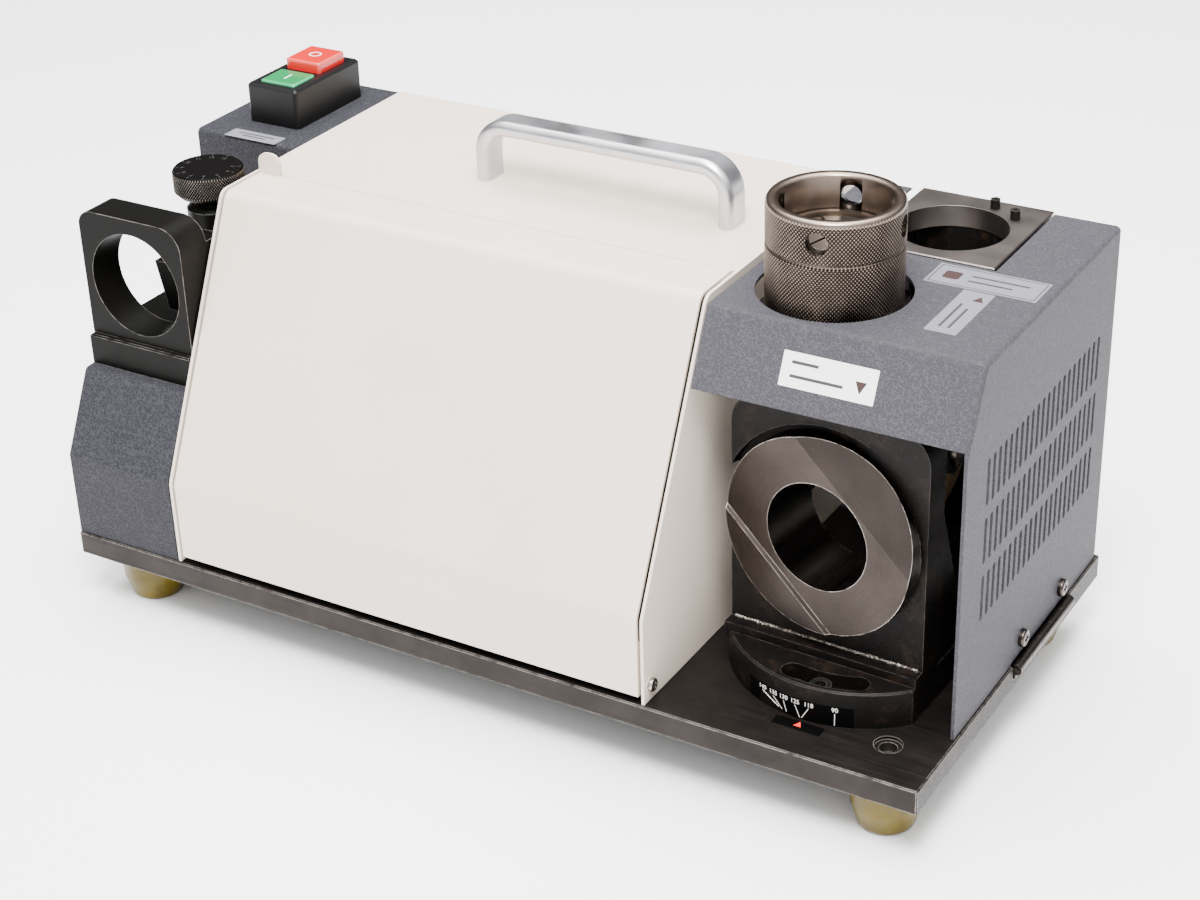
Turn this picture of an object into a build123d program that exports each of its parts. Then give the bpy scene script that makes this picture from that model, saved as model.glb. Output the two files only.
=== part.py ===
from build123d import *
import os
from math import cos, degrees, radians, sin, tan

# Bench drill bit sharpener, in millimetres. +X runs to the operator's right, +Y to the back and +Z up.
# The origin is the centre of the base plate's underside. The feet reach below it.

# ---- driving dimensions ----
PLATE_LENGTH, PLATE_WIDTH, PLATE_THICK = 450.0, 212.0, 12.0
FOOT_HEIGHT, FOOT_RADIUS = 27.0, 16.0
COVER_TOP = 182.8        # top of the middle cover above the plate's underside
GUARD_TOP = 182.2        # top of the two grey covers
SHEET = 1.5              # steel sheet of all covers
GAP = 0.3                # least clearance between moving and fixed pieces
PORT_RADIUS = 25.1       # bore of the grinding ports
REGISTER_RADIUS = 25.04  # chuck register that runs in them
CHUCK_RADIUS = 29.6
HANDLE_PITCH, HANDLE_RISE = 128.0, 31.0

LEFT, RIGHT = -PLATE_LENGTH / 2, PLATE_LENGTH / 2
FRONT, BACK = -PLATE_WIDTH / 2, PLATE_WIDTH / 2
DECK = PLATE_THICK       # upper face of the base plate
SIT = DECK + GAP         # lower edge of the covers

# covers, as (low, high) along X
HOUSING_X = (LEFT + 0.5, LEFT + 61.8)
MIDDLE_X = (LEFT + 62.6, LEFT + 321.2)
DOOR_X = (LEFT + 65.7, LEFT + 318.1)
GUARD_X = (LEFT + 324.2, LEFT + 448.7)
COVER_FRONT, COVER_BACK = FRONT + 1.0, FRONT + 210.5
KNEE_Z = 55.2            # where the front turns from upright to sloping
BROW_Y = FRONT + 61.4    # where the slope meets the top
DOOR_LIP_Y = FRONT + 88.5
DOOR_FOOT_Z = 15.6

# base plate
FOOT_PLACES = [(sx * 200.7, sy * 81.1) for sx in (-1, 1) for sy in (-1, 1)]
FOOT_SCREW_RADIUS = 4.0

# left housing: low deck for the setting station, tall box for the electrics
LOW_DECK_Z = 94.0
LOW_DECK_FRONT = FRONT + 20.5
TALL_FRONT = FRONT + 121.0
GLAND_RADIUS, GLAND_Z = 8.0, 45.0
CAPACITOR_RADIUS, CAPACITOR_HEIGHT = 17.0, 68.0

# switch on the tall box
SWITCH_X, SWITCH_Y, SWITCH_HEIGHT = (LEFT + 17.5, LEFT + 48.0), (FRONT + 141.7, FRONT + 196.0), 20.0
SWITCH_TOP, SWITCH_FLOOR = GUARD_TOP + SWITCH_HEIGHT, GUARD_TOP - 14.0
SWITCH_MIDDLE, KEY_WIDTH = sum(SWITCH_X) / 2, 21.0
KEY_X = (SWITCH_MIDDLE - KEY_WIDTH / 2, SWITCH_MIDDLE + KEY_WIDTH / 2)
GREEN_Y = (SWITCH_Y[0] + 5.0, SWITCH_Y[0] + 23.0)
RED_Y = (SWITCH_Y[0] + 26.5, SWITCH_Y[0] + 48.5)
GREEN_TOP, RED_TOP = SWITCH_TOP + 0.9, SWITCH_TOP + 5.2
KEY_FOOT = GUARD_TOP + 6.0
SPRING_WIRE, SPRING_TURNS, SPRING_RADIUS = 0.7, 6, 4.0

# setting station
SET_CENTRE_X, SET_BORE_Z, SET_BORE_RADIUS = LEFT + 31.5, 140.0, 26.0
SET_BASE_TOP = LOW_DECK_Z + 15.5
SET_BASE_Y = (FRONT + 26.3, FRONT + 100.0)
SET_FACE_Y, SET_DEPTH, SET_TOP = FRONT + 29.3, 18.7, 173.5
SETTING_SCREW_X, SETTING_SCREW_Y, SETTING_SCREW = (HOUSING_X[0] + 10, HOUSING_X[1] - 10), FRONT + 92.0, 5.0
KNOB_X, KNOB_Y, KNOB_RADIUS = LEFT + 43.6, FRONT + 76.0, 17.2
KNOB_Z, KNOB_HEIGHT = 173.0, 12.6
STEM_RADIUS, STEM_PLAY, BOSS_TOP = 5.0, 0.05, 169.0
STOP_TRAVEL = 8.0
STOP_Z = (118.0, 136.0)
STOP_WINDOW = (STOP_Z[0] - 1.0, STOP_Z[1] + STOP_TRAVEL + 1.0)

# storage door, handle and the spare collets behind the door
DOOR_PIVOT_Y, DOOR_PIVOT_Z = FRONT + 7.0, 19.9
PIVOT_RADIUS, PIVOT_HEAD = 2.0, 3.2
TAB_WIDTH, TAB_TOP = 12.5, COVER_TOP + 10.5
HANDLE_X, HANDLE_Y, BAR_DEPTH, BAR_THICK, BAR_BEND = LEFT + 231.0, FRONT + 133.0, 16.0, 7.5, 13.0
HANDLE_FEET = (HANDLE_X - HANDLE_PITCH / 2, HANDLE_X + HANDLE_PITCH / 2)
HANDLE_SCREW_RADIUS = 2.5
RACK_X, RACK_Y, RACK_TOP, RACK_FLOOR = (LEFT + 72.0, LEFT + 310.0), (FRONT + 18.0, FRONT + 97.0), 41.0, 23.0
COLLET_RADIUS, COLLET_LENGTH, COLLET_PITCH = 16.5, 40.0, 46.0
COLLET_PLACES = [(RACK_X[0] + 27 + COLLET_PITCH * i, y)
                 for y in (RACK_Y[0] + 20, RACK_Y[1] - 20) for i in range(5)]

# motor and grinding wheel, on one axis along X
SPINDLE_Y, SPINDLE_Z = FRONT + 144.0, 90.0
MOTOR_X, MOTOR_RADIUS, SHAFT_RADIUS = (LEFT + 180.0, LEFT + 300.0), 46.0, 7.0
BEARING_RADIUS, BEARING_WIDTH, STATOR_BORE, ROTOR_RADIUS = 16.0, 10.0, 27.6, 27.0
WHEEL_X, WHEEL_RADIUS, WHEEL_BEVEL = (LEFT + 376.0, LEFT + 396.0), 40.0, 23.0
WHEEL_END = WHEEL_X[1] + 9
BOLTED_SOLE, SOLE_SCREW = 6.0, 6.0
CRADLE_X = (MOTOR_X[0] + 15, MOTOR_X[1] - 15)
CRADLE_SCREWS = [(x, y) for x in (CRADLE_X[0] + 19, CRADLE_X[1] - 19)
                 for y in (SPINDLE_Y - 32, SPINDLE_Y + 32)]

# swivel bracket and its port ring
PIVOT_X, PIVOT_Y, PIN_RADIUS = LEFT + 386.0, FRONT + 83.0, 7.0
BRACKET_YAW, RING_YAW = -2.0, -8.0
BASE_RADIUS, BASE_HEIGHT = 59.2, 18.0
BASE_TOP = DECK + BASE_HEIGHT
WALL_HALF, WALL_SHIFT = 46.4, -2.2
WALL_FRONT, WALL_THICK, WALL_TOP = 31.0, 15.0, 147.5
PAD_OUT, PAD_TOP = 6.6, 4.2
RING_RADIUS, RING_Z, RING_FACE, RING_SPIGOT = 46.0, 90.0, 37.8, 33.0
RING_RECESS = 49.5
RING_BACK, SPIGOT_BACK = WALL_FRONT - 2.0, 4.0
CHORD_TILT, STEP_OFFSET, STEP_HEIGHT, FACET_OFFSET, FACET_TILT = -41.0, 28.9, 1.4, 25.8, 16.0
RING_SCREW_RADIUS, RING_SCREW_CIRCLE = 1.9, 29.0
RING_SCREWS = [(RING_SCREW_CIRCLE * cos(radians(a)), RING_SCREW_CIRCLE * sin(radians(a)))
               for a in (60, 180, 300)]
SLOT_RADIUS, SLOT_WIDE, SLOT_NARROW = 51.3, 10.4, 6.6
SLOT_MIDDLE, SLOT_SPAN, SLOT_STEP = 6.5, 33.0, 8.0
LOCK_ANGLE, LOCK_HEAD, LOCK_RADIUS = 5.0, 5.0, 3.0

# guard cover and its hinge
GUARD_FRONT_Y, BROW_GUARD_Y, SKIRT_Z = FRONT + 40.2, FRONT + 56.0, 149.6
HINGE_X, HINGE_Z, HINGE_RADIUS, HINGE_PIN_RADIUS = RIGHT + 0.7, 10.0, 2.8, 1.3
HINGE_LEDGE = 5.4
HINGE_Y, KNUCKLES = (FRONT + 105.0, FRONT + 171.0), 5
HINGE_SCREW_Y, HINGE_SCREW_Z, HINGE_SCREW_RADIUS = (FRONT + 115.0, FRONT + 162.5), 21.0, 2.0
LOUVRE_Y, LOUVRE_PITCH, LOUVRE_COUNT = FRONT + 63.8, 6.0, 22
LOUVRE_ROWS_Z, LOUVRE_HEIGHT, LOUVRE_WIDTH = (69.7, 97.5, 125.5), 22.0, 3.0
NOTCH_X = (LEFT + 348.0, LEFT + 418.0)

# chuck and its parking seat
CHUCK_X, CHUCK_Y, CHUCK_HOLE_RADIUS = LEFT + 364.5, FRONT + 93.2, 33.6
SEAT_TOP, SEAT_THICK, SEAT_HALF, SEAT_POST = 172.0, 12.0, 33.0, 27.0
SEAT_CORNERS = [(CHUCK_X + sx * SEAT_POST, CHUCK_Y + sy * SEAT_POST) for sx in (-1, 1) for sy in (-1, 1)]
SEAT_PIN_CIRCLE = 31.7
REGISTER_END = SEAT_TOP - 21.0
NUT_Z = (204.6, 224.0)
TOMMY_ANGLE, TOMMY_Z, TOMMY_RADIUS = -80.0, 214.5, 4.8
DRILL_RADIUS = 6.5

# rear port
REAR_PLATE_X = (LEFT + 353.5, LEFT + 416.8)
REAR_PLATE_Y = (FRONT + 140.6, FRONT + 210.3)
REAR_PLATE_TOP, REAR_PLATE_THICK = 182.8, 10.0
REAR_X, REAR_Y = LEFT + 383.7, FRONT + 173.3
REAR_SCREW_X, REAR_SCREW_Y = (REAR_PLATE_X[0] + 14, REAR_PLATE_X[1] - 12), REAR_PLATE_Y[1] - 23
REAR_PIN_RADIUS = 2.2
REAR_PINS = [(LEFT + 392.0, FRONT + 202.0), (LEFT + 404.5, FRONT + 194.5)]


# ---- helpers ----
def block(x, y, z):
    """Box between two corners, each argument a (low, high) pair."""
    middle = [(low + high) / 2 for low, high in (x, y, z)]
    return Pos(*middle) * Box(x[1] - x[0], y[1] - y[0], z[1] - z[0])


def rod(start, direction, radius, length):
    """Cylinder from a start point along a direction."""
    plane = Plane(origin=start, z_dir=direction)
    return extrude(plane * Circle(radius), amount=length)


def tube(start, direction, radius, bore, length):
    """Ring of outer radius and bore from a start point along a direction."""
    plane = Plane(origin=start, z_dir=direction)
    return extrude(plane * (Circle(radius) - Circle(bore)), amount=length)


def outline(*corners):
    """Closed face through corners (u, v), or (u, v, r) for one rounded to radius r."""
    points = [Vector(c[0], c[1]) for c in corners]
    ends = []
    edges = []
    for i, corner in enumerate(corners):
        here, before, after = points[i], points[i - 1], points[(i + 1) % len(points)]
        if len(corner) < 3:
            ends.append((here, here))
            continue
        back, on = (before - here).normalized(), (after - here).normalized()
        half = radians(back.get_angle(on)) / 2
        reach = corner[2] / tan(half)
        inward = (back + on).normalized()
        crown = here + inward * (corner[2] / sin(half) - corner[2])
        ends.append((here + back * reach, here + on * reach))
        edges.append(ThreePointArc(here + back * reach, crown, here + on * reach))
    for i, (_, leave) in enumerate(ends):
        arrive = ends[(i + 1) % len(ends)][0]
        edges.append(Line(leave, arrive))
    return make_face(edges)


def across(face, x):
    """Face drawn in (y, z), extruded from x[0] to x[1]."""
    return extrude(Plane.YZ.offset(x[0]) * face, amount=x[1] - x[0])


def deep(face, y):
    """Face drawn in (x, z), extruded from y[0] to y[1]."""
    plane = Plane(origin=(0, y[0], 0), x_dir=(1, 0, 0), z_dir=(0, -1, 0))
    return extrude(plane * face, amount=-(y[1] - y[0]))


def tall(face, z):
    """Face drawn in (x, y), extruded from z[0] to z[1]."""
    return extrude(Plane.XY.offset(z[0]) * face, amount=z[1] - z[0])


def turned(start, direction, corners):
    """Solid turned about an axis from corners (radius, distance along the axis)."""
    across_dir = (0, 0, 1) if abs(direction[0]) else (1, 0, 0)
    plane = Plane(origin=start, x_dir=across_dir, z_dir=Vector(across_dir).cross(Vector(direction)))
    return revolve(plane * outline(*corners), axis=Axis(start, direction))


def pan_screw(seat, direction, radius, shank, length):
    """Pan-head screw with a cross recess: head outside the seat, shank against direction."""
    direction = Vector(direction)
    height = 0.62 * radius
    head = rod(seat, direction, radius, height)
    head = fillet(head.edges().group_by(Axis((0, 0, 0), direction))[-1], 0.45 * height)
    plane = Plane(origin=Vector(seat) + direction * height, z_dir=direction)
    cross = Rectangle(1.1 * radius, 0.28 * radius) + Rectangle(0.28 * radius, 1.1 * radius)
    return head - extrude(plane * cross, amount=-0.6 * height) + rod(seat, -direction, shank, length)


def socket_screw(seat, direction, size, length):
    """Socket cap screw of a metric size, its head standing on the seat."""
    direction = Vector(direction)
    head = rod(seat, direction, 0.75 * size, size)
    plane = Plane(origin=Vector(seat) + direction * size, z_dir=direction)
    socket = extrude(plane * RegularPolygon(0.42 * size, 6), amount=-0.55 * size)
    return head - socket + rod(seat, -direction, size / 2, length)


def bracket_plane(yaw, distance, z=0.0):
    """Plane facing the operator, turned by yaw about the pivot, at a distance in front of it."""
    out = Vector(sin(radians(yaw)), -cos(radians(yaw)))
    side = Vector(cos(radians(yaw)), sin(radians(yaw)))
    return Plane(origin=Vector(PIVOT_X, PIVOT_Y, z) + out * distance, x_dir=side, z_dir=out)


def pivot_point(radius, angle, z):
    """Point round the pivot; the angle runs from straight ahead towards the right."""
    return (PIVOT_X + radius * sin(radians(angle)), PIVOT_Y - radius * cos(radians(angle)), z)


def write(**nodes):
    """Write each piece, or list of separate solids, to parts/NAME.step."""
    for name, shape in nodes.items():
        if isinstance(shape, list):
            shape = Compound(children=[s for piece in shape for s in piece.solids()])
        export_step(shape, f"parts/{name}.step")


# ---- base ----
def base_plate():
    """Thick steel plate with foot holes, pivot hole, lock screw hole and hinge pocket."""
    plate = block((LEFT, RIGHT), (FRONT, BACK), (0, PLATE_THICK))
    plate = chamfer(plate.edges(), 0.6)
    for x, y in FOOT_PLACES:
        plate -= rod((x, y, -1), (0, 0, 1), FOOT_SCREW_RADIUS, PLATE_THICK + 2)
        plate -= rod((x, y, DECK - 1.6), (0, 0, 1), 6.2, 2)
    plate -= rod((PIVOT_X, PIVOT_Y, 2), (0, 0, 1), PIN_RADIUS, PLATE_THICK)
    plate -= rod(pivot_point(SLOT_RADIUS, LOCK_ANGLE, 3), (0, 0, 1), LOCK_RADIUS, PLATE_THICK)
    relief = (HINGE_Y[0] - 1.5, HINGE_Y[1] + 1.5)
    return plate - block((RIGHT - 4.5, RIGHT + 1), relief, (HINGE_LEDGE, PLATE_THICK + 1))


def feet():
    """Four moulded feet with a hollow underside round the screw."""
    profile = [(4.2, 0), (FOOT_RADIUS - 2, 0), (FOOT_RADIUS, -6, 5), (FOOT_RADIUS, -15, 8),
               (FOOT_RADIUS - 3.5, -FOOT_HEIGHT, 3), (8.5, -FOOT_HEIGHT), (8.5, -9), (4.2, -9)]
    return [turned((x, y, 0), (0, 0, 1), profile) for x, y in FOOT_PLACES]


def foot_screws():
    """Screws that come up through the feet into the plate."""
    return [socket_screw((x, y, -9), (0, 0, -1), 8.0, 15) for x, y in FOOT_PLACES]


# ---- left housing and its electrics ----
def left_housing():
    """Stepped sheet box, open below and towards the middle cover."""
    edge = outline((COVER_FRONT, SIT), (COVER_FRONT, KNEE_Z, 4), (LOW_DECK_FRONT, LOW_DECK_Z, 3),
                   (TALL_FRONT, LOW_DECK_Z, 2.5), (TALL_FRONT, GUARD_TOP, 2.5),
                   (COVER_BACK, GUARD_TOP, 2.5), (COVER_BACK, SIT))
    box = across(edge, HOUSING_X)
    hollow = across(offset(edge, -SHEET), (HOUSING_X[0] + SHEET, HOUSING_X[1] + 1))
    mouth = block((HOUSING_X[0] + SHEET, HOUSING_X[1] + 1), (COVER_FRONT + SHEET, COVER_BACK - SHEET),
                  (0, SIT + 2 * SHEET))
    gland_hole = rod((SET_CENTRE_X, COVER_BACK + 1, GLAND_Z), (0, -1, 0), GLAND_RADIUS, 4)
    switch_hole = block((SWITCH_X[0] + 4, SWITCH_X[1] - 4), (SWITCH_Y[0] + 4, SWITCH_Y[1] - 4),
                        (GUARD_TOP - 4, GUARD_TOP + 1))
    return box - hollow - mouth - gland_hole - switch_hole


def cord_gland():
    """Hollow nylon gland in the back wall, for the supply lead."""
    place = (SET_CENTRE_X, COVER_BACK, GLAND_Z)
    return turned(place, (0, 1, 0), [(4, -12), (GLAND_RADIUS, -12), (GLAND_RADIUS, 0), (12, 0),
                                     (12, 5, 1), (9, 7), (8, 16, 2), (4, 16)])


def run_capacitor():
    """Motor capacitor that stands in the tall box."""
    y, top = TALL_FRONT + 30, DECK + CAPACITOR_HEIGHT
    can = rod((SET_CENTRE_X, y, DECK), (0, 0, 1), CAPACITOR_RADIUS, CAPACITOR_HEIGHT)
    can = fillet(can.edges().group_by(Axis.Z)[-1], 3)
    pins = [block((SET_CENTRE_X + dx - 3, SET_CENTRE_X + dx + 3), (y - 0.4, y + 0.4), (top, top + 9))
            for dx in (-7, 7)]
    return can + pins[0] + pins[1]


def key_well(y):
    """Space that a key and its clearance take in the switch body."""
    return block((KEY_X[0] - GAP, KEY_X[1] + GAP), (y[0] - GAP, y[1] + GAP),
                 (SWITCH_FLOOR + 2, SWITCH_TOP + 9))


def switch_body():
    """Moulded switch housing with a well for each key, its lower half inside the box."""
    upper = block(SWITCH_X, SWITCH_Y, (GUARD_TOP, SWITCH_TOP))
    upper = fillet(upper.edges().filter_by(Axis.Z), 2.0)
    upper = chamfer(upper.edges().group_by(Axis.Z)[-1], 1.2)
    lower = block((SWITCH_X[0] + 4.2, SWITCH_X[1] - 4.2), (SWITCH_Y[0] + 4.2, SWITCH_Y[1] - 4.2),
                  (SWITCH_FLOOR, GUARD_TOP))
    return upper + lower - key_well(GREEN_Y) - key_well(RED_Y)


def switch_key(y, top):
    """Key with a rounded crown and a stem for its spring."""
    key = block(KEY_X, y, (KEY_FOOT, top))
    key = fillet(key.edges().filter_by(Axis.Z), 1.6)
    key = fillet(key.edges().group_by(Axis.Z)[-1], 1.0)
    centre = (SWITCH_MIDDLE, sum(y) / 2, GUARD_TOP - 3)
    return key + rod(centre, (0, 0, 1), 2.2, 10)


def key_spring(y):
    """Coil spring that pushes a key up."""
    foot = SWITCH_FLOOR + 2
    height = KEY_FOOT - foot - 2 * SPRING_WIRE
    path = Helix(pitch=height / SPRING_TURNS, height=height, radius=SPRING_RADIUS)
    section = Plane(origin=path @ 0, z_dir=path % 0) * Circle(SPRING_WIRE)
    return Pos(SWITCH_MIDDLE, sum(y) / 2, foot + SPRING_WIRE) * sweep(section, path=path)


# ---- setting station ----
def setting_base():
    """Block bolted to the low deck, the width of the housing."""
    base = block(HOUSING_X, SET_BASE_Y, (LOW_DECK_Z, SET_BASE_TOP))
    base = chamfer(base.edges().group_by(Axis.Z)[-1], 0.8)
    for x in SETTING_SCREW_X:
        base -= rod((x, SETTING_SCREW_Y, LOW_DECK_Z - 1), (0, 0, 1), SETTING_SCREW / 2, 20)
    return base - rod((KNOB_X, KNOB_Y, SET_BASE_TOP - 8), (0, 0, 1), STEM_RADIUS + STEM_PLAY, 9)


def setting_block():
    """Upright block with the setting bore, and a rib behind it that guides the stop."""
    low, high = HOUSING_X[0] + 0.2, HOUSING_X[1] - 0.2
    face = outline((low, SET_BASE_TOP), (low, SET_TOP, 8), (high, SET_TOP, 12), (high, SET_BASE_TOP))
    slab = deep(face, (SET_FACE_Y, SET_FACE_Y + SET_DEPTH))
    rib = block((KNOB_X + 5, high), (SET_FACE_Y + SET_DEPTH, KNOB_Y - 17), (SET_BASE_TOP, SET_TOP - 12))
    bore = rod((SET_CENTRE_X, SET_FACE_Y - 1, SET_BORE_Z), (0, 1, 0), SET_BORE_RADIUS, SET_DEPTH + 2)
    return slab + rib - bore


def spindle_housing():
    """Stepped boss that carries the knob's stem, with a window for the stop."""
    place = (KNOB_X, KNOB_Y, 0)
    bore = STEM_RADIUS + STEM_PLAY
    boss = turned(place, (0, 0, 1), [
        (bore, SET_BASE_TOP), (9.5, SET_BASE_TOP), (9.5, BOSS_TOP - 14), (12, BOSS_TOP - 11),
        (12, BOSS_TOP - 3), (9, BOSS_TOP), (bore, BOSS_TOP)])
    window = block((KNOB_X - 20, KNOB_X + 20), (KNOB_Y - 20, KNOB_Y + 20), STOP_WINDOW)
    post = block((KNOB_X - 8, KNOB_X + 8), (KNOB_Y + 5.6, KNOB_Y + 9.0), STOP_WINDOW)
    return boss - window + post


def drill_stop():
    """Collar on the stem with an arm and a wedge-faced stop behind the setting bore."""
    collar = rod((KNOB_X, KNOB_Y, STOP_Z[0]), (0, 0, 1), 8.0, STOP_Z[1] - STOP_Z[0])
    collar -= block((KNOB_X - 9, KNOB_X + 9), (KNOB_Y + 5.2, KNOB_Y + 9), STOP_Z)
    arm = block((KNOB_X - 15, KNOB_X + 2), (KNOB_Y - 20, KNOB_Y - 4), STOP_Z)
    wedge = across(outline((KNOB_Y - 20, STOP_Z[0] - 2), (KNOB_Y - 26, STOP_Z[0] + 26),
                           (KNOB_Y - 17, STOP_Z[0] + 26), (KNOB_Y - 17, STOP_Z[0] - 2)),
                   (KNOB_X - 17, KNOB_X + 4.5))
    bore = rod((KNOB_X, KNOB_Y, STOP_Z[0] - 1), (0, 0, 1), STEM_RADIUS + 0.06, STOP_Z[1] - STOP_Z[0] + 2)
    return collar + arm + wedge - bore


def setting_knob():
    """Dial with a stem that runs down through the housing and the stop."""
    place = (KNOB_X, KNOB_Y, 0)
    dial = turned(place, (0, 0, 1), [(0, KNOB_Z), (KNOB_RADIUS - 2, KNOB_Z), (KNOB_RADIUS, KNOB_Z + 2.4),
                                     (KNOB_RADIUS, KNOB_Z + KNOB_HEIGHT - 0.8),
                                     (KNOB_RADIUS - 0.8, KNOB_Z + KNOB_HEIGHT), (0, KNOB_Z + KNOB_HEIGHT)])
    neck = rod((KNOB_X, KNOB_Y, BOSS_TOP + GAP), (0, 0, 1), 7.5, KNOB_Z - BOSS_TOP - GAP)
    stem = rod((KNOB_X, KNOB_Y, SET_BASE_TOP - 7), (0, 0, 1), STEM_RADIUS, KNOB_Z - SET_BASE_TOP + 7)
    return dial + neck + stem


def setting_screws():
    """Two cap screws that hold the setting base to the low deck, behind the block."""
    depth = SET_BASE_TOP - LOW_DECK_Z
    return [socket_screw((x, SETTING_SCREW_Y, SET_BASE_TOP), (0, 0, 1), SETTING_SCREW, depth)
            for x in SETTING_SCREW_X]


# ---- middle cover, door and handle ----
def cover_edge():
    """Side outline that the middle cover and its door share."""
    return outline((COVER_FRONT, SIT), (COVER_FRONT, KNEE_Z, 6), (BROW_Y, COVER_TOP, 6),
                   (COVER_BACK, COVER_TOP, 2.5), (COVER_BACK, SIT))


def middle_cover():
    """Two cheeks, a top and a back in folded sheet, open in front and below."""
    shell = across(cover_edge(), MIDDLE_X)
    inside = (MIDDLE_X[0] + SHEET, MIDDLE_X[1] - SHEET)
    shell -= across(offset(cover_edge(), -SHEET), inside)
    shell -= block(inside, (COVER_FRONT + SHEET, COVER_BACK - SHEET), (0, SIT + 2 * SHEET))
    shell -= block(inside, (FRONT - 1, DOOR_LIP_Y + GAP), (0, COVER_TOP + 1))
    shell += block(inside, (DOOR_LIP_Y - 9, DOOR_LIP_Y + 10),
                   (COVER_TOP - 2 * SHEET - GAP, COVER_TOP - SHEET - GAP))
    shell += block(inside, (DOOR_LIP_Y + 4, DOOR_LIP_Y + 10), (COVER_TOP - SHEET - GAP, COVER_TOP - SHEET))
    shell -= rod((MIDDLE_X[1] - 3, SPINDLE_Y, SPINDLE_Z), (1, 0, 0), 20.0, 6)
    for x in (MIDDLE_X[0] - 1, MIDDLE_X[1] - 3):
        shell -= rod((x, DOOR_PIVOT_Y, DOOR_PIVOT_Z), (1, 0, 0), PIVOT_RADIUS, 5)
    for x in HANDLE_FEET:
        shell -= rod((x, HANDLE_Y, COVER_TOP - 5), (0, 0, 1), HANDLE_SCREW_RADIUS, 6)
    return shell


def storage_door():
    """Folded front panel with pivot ears, top lip and a rounded finger tab."""
    door = across(cover_edge(), DOOR_X)
    door -= across(offset(cover_edge(), -SHEET), (DOOR_X[0] - 1, DOOR_X[1] + 1))
    door &= block(DOOR_X, (FRONT, DOOR_LIP_Y), (DOOR_FOOT_Z, COVER_TOP + 1))
    for x in ((DOOR_X[0], DOOR_X[0] + SHEET), (DOOR_X[1] - SHEET, DOOR_X[1])):
        ear = across(outline((COVER_FRONT + SHEET, DOOR_FOOT_Z), (COVER_FRONT + SHEET, 44),
                             (DOOR_PIVOT_Y + 6, 34, 3), (DOOR_PIVOT_Y + 6, DOOR_FOOT_Z, 5)), x)
        door += ear
        door -= rod((x[0] - 1, DOOR_PIVOT_Y, DOOR_PIVOT_Z), (1, 0, 0), PIVOT_RADIUS + 0.08, 4)
    tab_x = (DOOR_X[0], DOOR_X[0] + TAB_WIDTH)
    tab = deep(outline((tab_x[0], COVER_TOP - SHEET), (tab_x[0], TAB_TOP, 5), (tab_x[1], TAB_TOP, 5),
                       (tab_x[1], COVER_TOP - SHEET)), (DOOR_LIP_Y - SHEET, DOOR_LIP_Y))
    return door + tab


def door_pivots():
    """Two shouldered screws through the cheeks, on which the door turns."""
    screws = []
    for x, out in ((MIDDLE_X[0], -1), (MIDDLE_X[1], 1)):
        screws.append(pan_screw((x, DOOR_PIVOT_Y, DOOR_PIVOT_Z), (out, 0, 0), PIVOT_HEAD, PIVOT_RADIUS, 7))
    return screws


def carry_handle():
    """Bow handle of flat-oval bar."""
    low, high = HANDLE_FEET
    top = COVER_TOP + HANDLE_RISE - BAR_THICK / 2
    path = FilletPolyline((low, HANDLE_Y, COVER_TOP), (low, HANDLE_Y, top), (high, HANDLE_Y, top),
                          (high, HANDLE_Y, COVER_TOP), radius=BAR_BEND)
    section = Plane(origin=(low, HANDLE_Y, COVER_TOP), x_dir=(1, 0, 0), z_dir=(0, 0, 1))
    bar = sweep(section * RectangleRounded(BAR_THICK, BAR_DEPTH, 3.4), path=path)
    for x in HANDLE_FEET:
        bar -= rod((x, HANDLE_Y, COVER_TOP - 1), (0, 0, 1), HANDLE_SCREW_RADIUS, 13)
    return bar


def handle_screws():
    """Screws from inside the cover into the handle's feet."""
    return [pan_screw((x, HANDLE_Y, COVER_TOP - SHEET), (0, 0, -1), 4.6, HANDLE_SCREW_RADIUS, 12)
            for x in HANDLE_FEET]


def collet_rack():
    """Moulded rack with ten sockets for spare collets."""
    rack = block(RACK_X, RACK_Y, (DECK, RACK_TOP))
    rack = chamfer(rack.edges().group_by(Axis.Z)[-1], 1.5)
    for x, y in COLLET_PLACES:
        rack -= rod((x, y, RACK_FLOOR), (0, 0, 1), COLLET_RADIUS - 1.2, 40)
    return rack


def spare_collet(x, y, bore):
    """Spring collet: long taper below, groove and short nose above, slit six ways from the nose."""
    foot = RACK_FLOOR
    body = turned((x, y, foot), (0, 0, 1), [
        (bore, 0), (COLLET_RADIUS - 5.2, 0), (COLLET_RADIUS - 1.6, COLLET_LENGTH - 11),
        (COLLET_RADIUS - 1.6, COLLET_LENGTH - 8), (COLLET_RADIUS - 0.2, COLLET_LENGTH - 6),
        (COLLET_RADIUS - 2.2, COLLET_LENGTH), (bore, COLLET_LENGTH)])
    slits = [Pos(x, y, foot + COLLET_LENGTH) * Rot(0, 0, 60 * i) * Pos(12, 0, 0) * Box(24 - bore, 1.2, 62)
             for i in range(6)]
    for slit in slits:
        body -= slit
    return body


def spare_collets():
    """One collet per drill size, from small to large."""
    return [spare_collet(x, y, 1.5 + 0.85 * i) for i, (x, y) in enumerate(COLLET_PLACES)]


# ---- motor and wheel ----
def motor_frame():
    """Ribbed cylinder with the stator pressed in it."""
    ring = Circle(MOTOR_RADIUS) - Circle(STATOR_BORE)
    for i in range(24):
        angle = 15 * i
        if 200 < angle < 340:
            continue
        ring += Rot(0, 0, angle) * Pos(MOTOR_RADIUS + 0.5, 0) * Rectangle(5, 2.0)
    plane = Plane(origin=(MOTOR_X[0], SPINDLE_Y, SPINDLE_Z), x_dir=(0, 1, 0), z_dir=(1, 0, 0))
    return extrude(plane * ring, amount=MOTOR_X[1] - MOTOR_X[0])


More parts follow.
